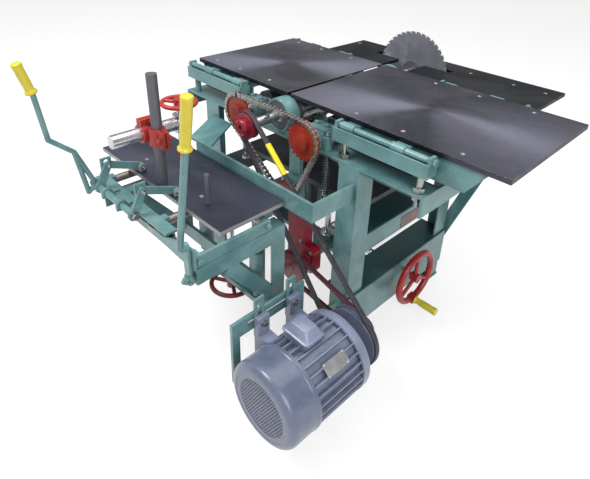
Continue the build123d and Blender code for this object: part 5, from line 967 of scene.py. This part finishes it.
def makeEndPlate():
    bm = bmesh.new()
    x, y, z, thick = (endPlate[key] for key in ("x", "y", "z", "thick"))
    halfY, halfZ = endPlate["half"]
    outline = [(-halfY, -halfZ), (halfY, -halfZ), (halfY, halfZ), (-halfY, halfZ)]
    slab(bm, seat(x, y, z, right), outline, endPlate["gap"], thick, endPlate["cut"])
    for sideY, sideZ in product((-1, 1), repeat=2):
        rivetY, rivetZ = y + sideY * (halfY - endPlate["inset"]), z + sideZ * (halfZ - endPlate["inset"])
        turned(bm, seat(x + thick, rivetY, rivetZ, right), endPlate["rivet"], rivetSides)
    makePiece("endBlankPlate", bm, "plateBrown", "frame")


# Sheets folded in along the tops of the two end bars

endShelf = {"z": 357.0, "thick": 4.5, "reach": 105.0, "right": 274.0, "left": -316.0, "ends": (24.0, 376.0),
            "bend": 6.0, "bendSteps": 6, "crease": 40.0}


def makeEndShelves():
    bm = bmesh.new()
    bend, low = endShelf["bend"], endShelf["z"]
    top = low + endShelf["thick"]
    # the section from the bend at the bar to the free edge, then back along the underside
    section = [(-inward, z) for inward, z in roundBend(0.0, top, bend, endShelf["bendSteps"])]
    section += [(endShelf["reach"], top), (endShelf["reach"], low), (bend, low)]
    for start, way in ((endShelf["right"], -1), (endShelf["left"], 1)):
        rows = [[bm.verts.new(spot(start + way * x, y, z)) for x, z in section] for y in endShelf["ends"]]
        skinRows(bm, rows, ends=True)
    # the shelves are coloured in the darker green of painted shade
    makePiece("endShelves", bm, "foldShadeGreen", "frame", endShelf["crease"])


# Saw blade with hooked teeth and hard tips

sawBlade = {"y": 562.0, "radius": 129.6, "root": 122.0, "half": 1.2, "hub": 20.0, "teeth": 40,
            "rings": (60.0, 108.0), "crease": 25.0, "tipReach": 129.9, "tipHalf": 1.75, "tipCut": 0.25,
            "tip": ((5.0, -1.4), (0.0, -0.6), (0.3, 2.6), (5.0, 1.6)),  # depth from its reach, offset
            # share of the pitch, share of the tooth's height
            "tooth": ((0.0, 1.0), (0.1, 0.97), (0.4, 0.88), (0.66, 0.8), (0.73, 0.2), (0.83, 0.0),
                      (0.94, 0.25))}


def makeBlade():
    bm = bmesh.new()
    matrix = seat(0, sawBlade["y"], spindleHeight, rearward)
    teeth, root, rise = sawBlade["teeth"], sawBlade["root"], sawBlade["radius"] - sawBlade["root"]
    outline = [(fullTurn * (tooth + share) / teeth, root + rise * height)
               for tooth in range(teeth) for share, height in sawBlade["tooth"]]
    sides = []
    for level in (-sawBlade["half"], sawBlade["half"]):
        rows = []
        for radius in (sawBlade["hub"], *sawBlade["rings"], None):
            places = [polar(edge if radius is None else radius, angle) for angle, edge in outline]
            rows.append([bm.verts.new(matrix @ Vector((*place, level))) for place in places])
        skinRows(bm, rows)
        sides.append(rows)
    for row in (0, -1):
        join(bm, sides[0][row], sides[1][row])
    makePiece("bladeToothed", bm, "bladeSteel", "spindle", sawBlade["crease"], "saw_blade")


def makeBladeTips():
    bm = bmesh.new()
    tip = [(sawBlade["tipReach"] - depth, offset) for depth, offset in sawBlade["tip"]]
    for tooth in range(sawBlade["teeth"]):
        place = seat(0, sawBlade["y"], spindleHeight, rearward, fullTurn * tooth / sawBlade["teeth"])
        slab(bm, place, tip, -sawBlade["tipHalf"], sawBlade["tipHalf"], sawBlade["tipCut"])
    makePiece("bladeTips", bm, "plateMetal", "spindle")


makeBearingCovers()
makeBlockCollars()
makeEndPlate()
makeEndShelves()
makeBlade()
makeBladeTips()
print("covers, plate and blade ready")


# Bolts, nuts and screws

boltSizes = {
    "m6": {"across": 10.0, "head": 4.2, "washer": 6.4, "sheet": 1.2, "stem": 3.0},
    "m8": {"across": 13.0, "head": 5.5, "washer": 8.2, "sheet": 1.6, "stem": 4.0},
    "m10": {"across": 16.0, "head": 6.6, "washer": 10.2, "sheet": 1.8, "stem": 5.0},
}
boltShape = {"washerCuts": (0.3, 0.4), "washerSides": 24, "hexFoot": (0.96, 0.5), "hexTop": (0.86, 0.9),
             "threads": 3, "pitch": 1.6, "threadDepth": 0.7, "stemSunk": 0.2,
             "stemCuts": ((0.4, 4.6), (1.2, 5.4)), "stemSides": 16,
             "crown": ((0.8, 0.0), (0.5, 0.35), (0.0, 0.45)), "crownSides": 18, "spin": 0.4}


def addBolt(bm, matrix, size, nut):
    # a washer and a hexagon, with a threaded end where it is a nut
    kind = boltSizes[size]
    sheet, stem = kind["sheet"], kind["stem"]
    turned(bm, matrix, drum(kind["washer"], 0, sheet, *boltShape["washerCuts"]), boltShape["washerSides"])
    corner = kind["across"] / 2 / math.cos(math.pi / 6)
    top = sheet + kind["head"]
    (footShare, footRise), (topShare, topDrop) = boltShape["hexFoot"], boltShape["hexTop"]
    steps = ((corner * footShare, sheet), (corner, sheet + footRise), (corner, top - topDrop),
             (corner * topShare, top))
    rows = [ring(bm, matrix, radius, height, 6) for radius, height in steps]
    skinRows(bm, rows)
    bm.faces.new(rows[-1])
    if nut:
        profile = [(stem, top - boltShape["stemSunk"])]
        for thread in range(boltShape["threads"]):
            foot = top + thread * boltShape["pitch"]
            profile += [(stem, foot), (stem - boltShape["threadDepth"], foot + boltShape["pitch"] / 2)]
        profile += [(stem - cut, top + rise) for cut, rise in boltShape["stemCuts"]]
        turned(bm, matrix, profile + [(0, profile[-1][1])], boltShape["stemSides"])
    else:
        crown = [(corner * share, top + rise) for share, rise in boltShape["crown"]]
        turned(bm, matrix, crown, boltShape["crownSides"])


def grid(x, y, z):
    # every mix of the given places, each one value or several
    return list(product(*(value if isinstance(value, tuple) else (value,) for value in (x, y, z))))


def bolts(size, way, x, y, z, nut=False):
    return [(place, way, size, nut) for place in grid(x, y, z)]


def both(places):
    # the same at the back of the tables
    return places + [((x, tableDepth - y, z), way, size, nut) for (x, y, z), way, size, nut in places]


def boltSet(name, body, places, finish="zincSteel", slotName="bright_steel"):
    bm = bmesh.new()
    for index, (place, way, size, nut) in enumerate(places):
        addBolt(bm, seat(*place, way, boltShape["spin"] * index), size, nut)
    makePiece(name, bm, finish, body)


painted = ("frameGreen", "frame_paint")
strapY, slideY = (-330.0, -236.0), (-428.0, -246.0)
leverPivot = {"y": -458.0, "z": 497.0}
linkPin = {"angle": math.radians(63.5), "arm": 56.0, "x": (-155.7, 3.3)}
pinY, pinZ = polar(linkPin["arm"], linkPin["angle"])
gearboxPlaces = ((47.0, 460.0), (87.0, 460.0), (47.0, 384.0), (121.0, 388.0), (121.0, 298.0), (79.0, 216.0),
                 (156.0, 216.0), (156.0, 274.0))
railBolts = bolts("m10", up, x=(-58.0, 58.0), y=-20.5, z=589.0)
railBolts += bolts("m8", up, x=(-141.0, -109.0, 109.0, 141.0), y=-6.5, z=625.0)
railBolts += bolts("m8", up, x=(-160.0, 160.0), y=-20.0, z=609.0, nut=True)
boltSet("railBolts", "frame", both(railBolts), *painted)
boltSet("outfeedRodNuts", "frame", both(bolts("m10", left, x=-410.0, y=-22.0, z=655.0)), *painted)
boltSet("infeedRodNuts", "infeed_carrier", both(bolts("m10", right, x=452.0, y=-22.0, z=655.0)), *painted)
mountBolts = bolts("m8", right, x=268.0, y=strapY, z=300.5, nut=True)
boltSet("mountBolts", "frame", mountBolts + bolts("m8", right, x=282.0, y=strapY, z=(104.0, 300.0)))
boltSet("gearboxBolts", "frame", [((x, -58.0, z), forward, "m6", False) for x, z in gearboxPlaces])
kneeBolts = bolts("m8", left, x=-190.0, y=slideY, z=472.0) + bolts("m8", right, x=198.0, y=slideY, z=472.0)
kneeBolts += bolts("m10", forward, x=187.0, y=-450.0, z=430.0, nut=True)
boltSet("kneeBolts", "mortiser_knee", kneeBolts, *painted)
boltSet("linkNuts", "mortiser_table", bolts("m6", right, x=linkPin["x"], y=-348.0, z=514.0, nut=True))
armNuts = bolts("m6", right, x=linkPin["x"], y=leverPivot["y"] + pinY, z=leverPivot["z"] + pinZ, nut=True)
armNuts += bolts("m10", right, x=3.3, **leverPivot) + bolts("m10", left, x=-189.0, **leverPivot)
boltSet("armNuts", "plunge_arm", armNuts)
boltSet("strutNut", "saw_bench", bolts("m8", rearward, x=425.0, y=462.3, z=620.0, nut=True))
boltSet("strutClampNut", "frame", bolts("m10", rearward, x=266.0, y=466.0, z=172.0, nut=True))
clampBolts = bolts("m6", right, x=-96.0, y=-345.0, z=656.5)
clampBolts += bolts("m6", left, x=-114.0, y=-345.0, z=656.5, nut=True)
clampBolts += bolts("m8", forward, x=-41.0, y=-354.0, z=628.0)
clampBolts += bolts("m8", rearward, x=-41.0, y=-336.0, z=628.0, nut=True)
boltSet("clampBolts", "clamp_head", clampBolts, "clampRed", "crimson_paint")
print("bolts ready")

tableScrew = {"radius": 5.5, "proud": 0.35, "sunk": 0.5, "cut": 0.6, "socket": (2.2, 2.0), "socketDeep": 0.25,
              "sides": 20, "spin": 0.9}


def screwSet(name, body, places):
    # countersunk screws, a hair above the plate
    bm = bmesh.new()
    radius, proud, (wide, narrow) = tableScrew["radius"], tableScrew["proud"], tableScrew["socket"]
    floor = proud - tableScrew["socketDeep"]
    profile = [(radius, -tableScrew["sunk"]), (radius, proud / 2), (radius - tableScrew["cut"], proud),
               (wide, proud), (narrow, floor), (0, floor)]
    for index, place in enumerate(places):
        turned(bm, seat(*place, up, tableScrew["spin"] * index), profile, tableScrew["sides"])
    makePiece(name, bm, "plateMetal", body)


screwRows = (28.0, 372.0)
screwSet("infeedScrews", "infeed", grid(x=(203.0, 338.0, 486.0), y=screwRows, z=tableTop))
screwSet("outfeedScrews", "outfeed", grid(x=(-110.0, -240.0, -350.0), y=screwRows, z=tableTop))
screwSet("sawTableScrews", "saw_bench", grid(x=(-262.0, 190.0, 330.0, 425.0), y=600.0, z=sawTableTop))
screwSet("mortiseScrews", "mortiser_table", grid(x=(-205.0, 40.0), y=-310.0, z=mortiseTableTop))
print("screws ready")


# Floor, light and camera

floorLook = {"color": (0.45, 0.45, 0.45, 1.0), "rough": 0.9, "size": 60.0, "lift": 0.66}
lamps = {
    "key": {"place": (-1.1, -1.7, 3.3), "aim": (0.0, 0.0, 0.4), "size": 1.6, "power": 88.0},
    "fill": {"place": (2.6, -1.4, 2.0), "aim": (0.0, -0.1, 0.4), "size": 2.2, "power": 58.0},
    "top": {"place": (0.2, 0.6, 3.2), "aim": (0.0, 0.0, 0.5), "size": 2.8, "power": 40.0},
}
sky = {"color": (1.0, 1.0, 1.0, 1.0), "strength": 0.42}
lens = {"place": (0.8146, -0.8975, 1.1281), "turn": (62.2166, -2.1423, 44.9129), "focal": 31.164,
        "sensor": 36.0, "shift": (-0.02294, -0.12932), "nearest": 0.05}


def makeFloor():
    mesh = bpy.data.meshes.new("studioFloor")
    half = floorLook["size"] / 2
    corners = [(-half, -half, 0), (half, -half, 0), (half, half, 0), (-half, half, 0)]
    mesh.from_pydata(corners, [], [(0, 1, 2, 3)])
    floor = bpy.data.objects.new("studioFloor", mesh)
    scene.collection.objects.link(floor)
    material = bpy.data.materials.new("studioFloor")
    material.use_nodes = True
    tree = material.node_tree
    tree.nodes.clear()
    shader = put(tree, "ShaderNodeBsdfPrincipled", [
        ("Base Color", floorLook["color"]), ("Roughness", floorLook["rough"])])
    path = put(tree, "ShaderNodeLightPath").outputs
    seen = calc(tree, "MAXIMUM", path["Is Camera Ray"], path["Is Glossy Ray"])
    glow = put(tree, "ShaderNodeEmission", [("Strength", calc(tree, "MULTIPLY", seen, floorLook["lift"]))])
    lit = put(tree, "ShaderNodeAddShader", [(0, shader.outputs[0]), (1, glow.outputs[0])])
    put(tree, "ShaderNodeOutputMaterial", [(0, lit.outputs[0])])
    mesh.materials.append(material)


def makeLight():
    world = bpy.data.worlds.new("studioSky")
    scene.world = world
    world.use_nodes = True
    background = world.node_tree.nodes["Background"].inputs
    background[0].default_value = sky["color"]
    background[1].default_value = sky["strength"]
    for name, lamp in lamps.items():
        data = bpy.data.lights.new(name + "Lamp", "AREA")
        data.shape = "DISK"
        data.size = lamp["size"]
        data.energy = lamp["power"]
        holder = bpy.data.objects.new(name + "Lamp", data)
        scene.collection.objects.link(holder)
        holder.location = lamp["place"]
        ray = Vector(lamp["aim"]) - Vector(lamp["place"])
        holder.rotation_euler = ray.to_track_quat("-Z", "Y").to_euler()


def makeCamera():
    data = bpy.data.cameras.new("photoView")
    data.sensor_width = lens["sensor"]
    data.sensor_fit = "HORIZONTAL"
    data.lens = lens["focal"]
    data.shift_x, data.shift_y = lens["shift"]
    data.clip_start = lens["nearest"]
    camera = bpy.data.objects.new("photoView", data)
    scene.collection.objects.link(camera)
    camera.location = lens["place"]
    camera.rotation_euler = [math.radians(angle) for angle in lens["turn"]]
    scene.camera = camera


makeFloor()
makeLight()
makeCamera()
print("studio ready")
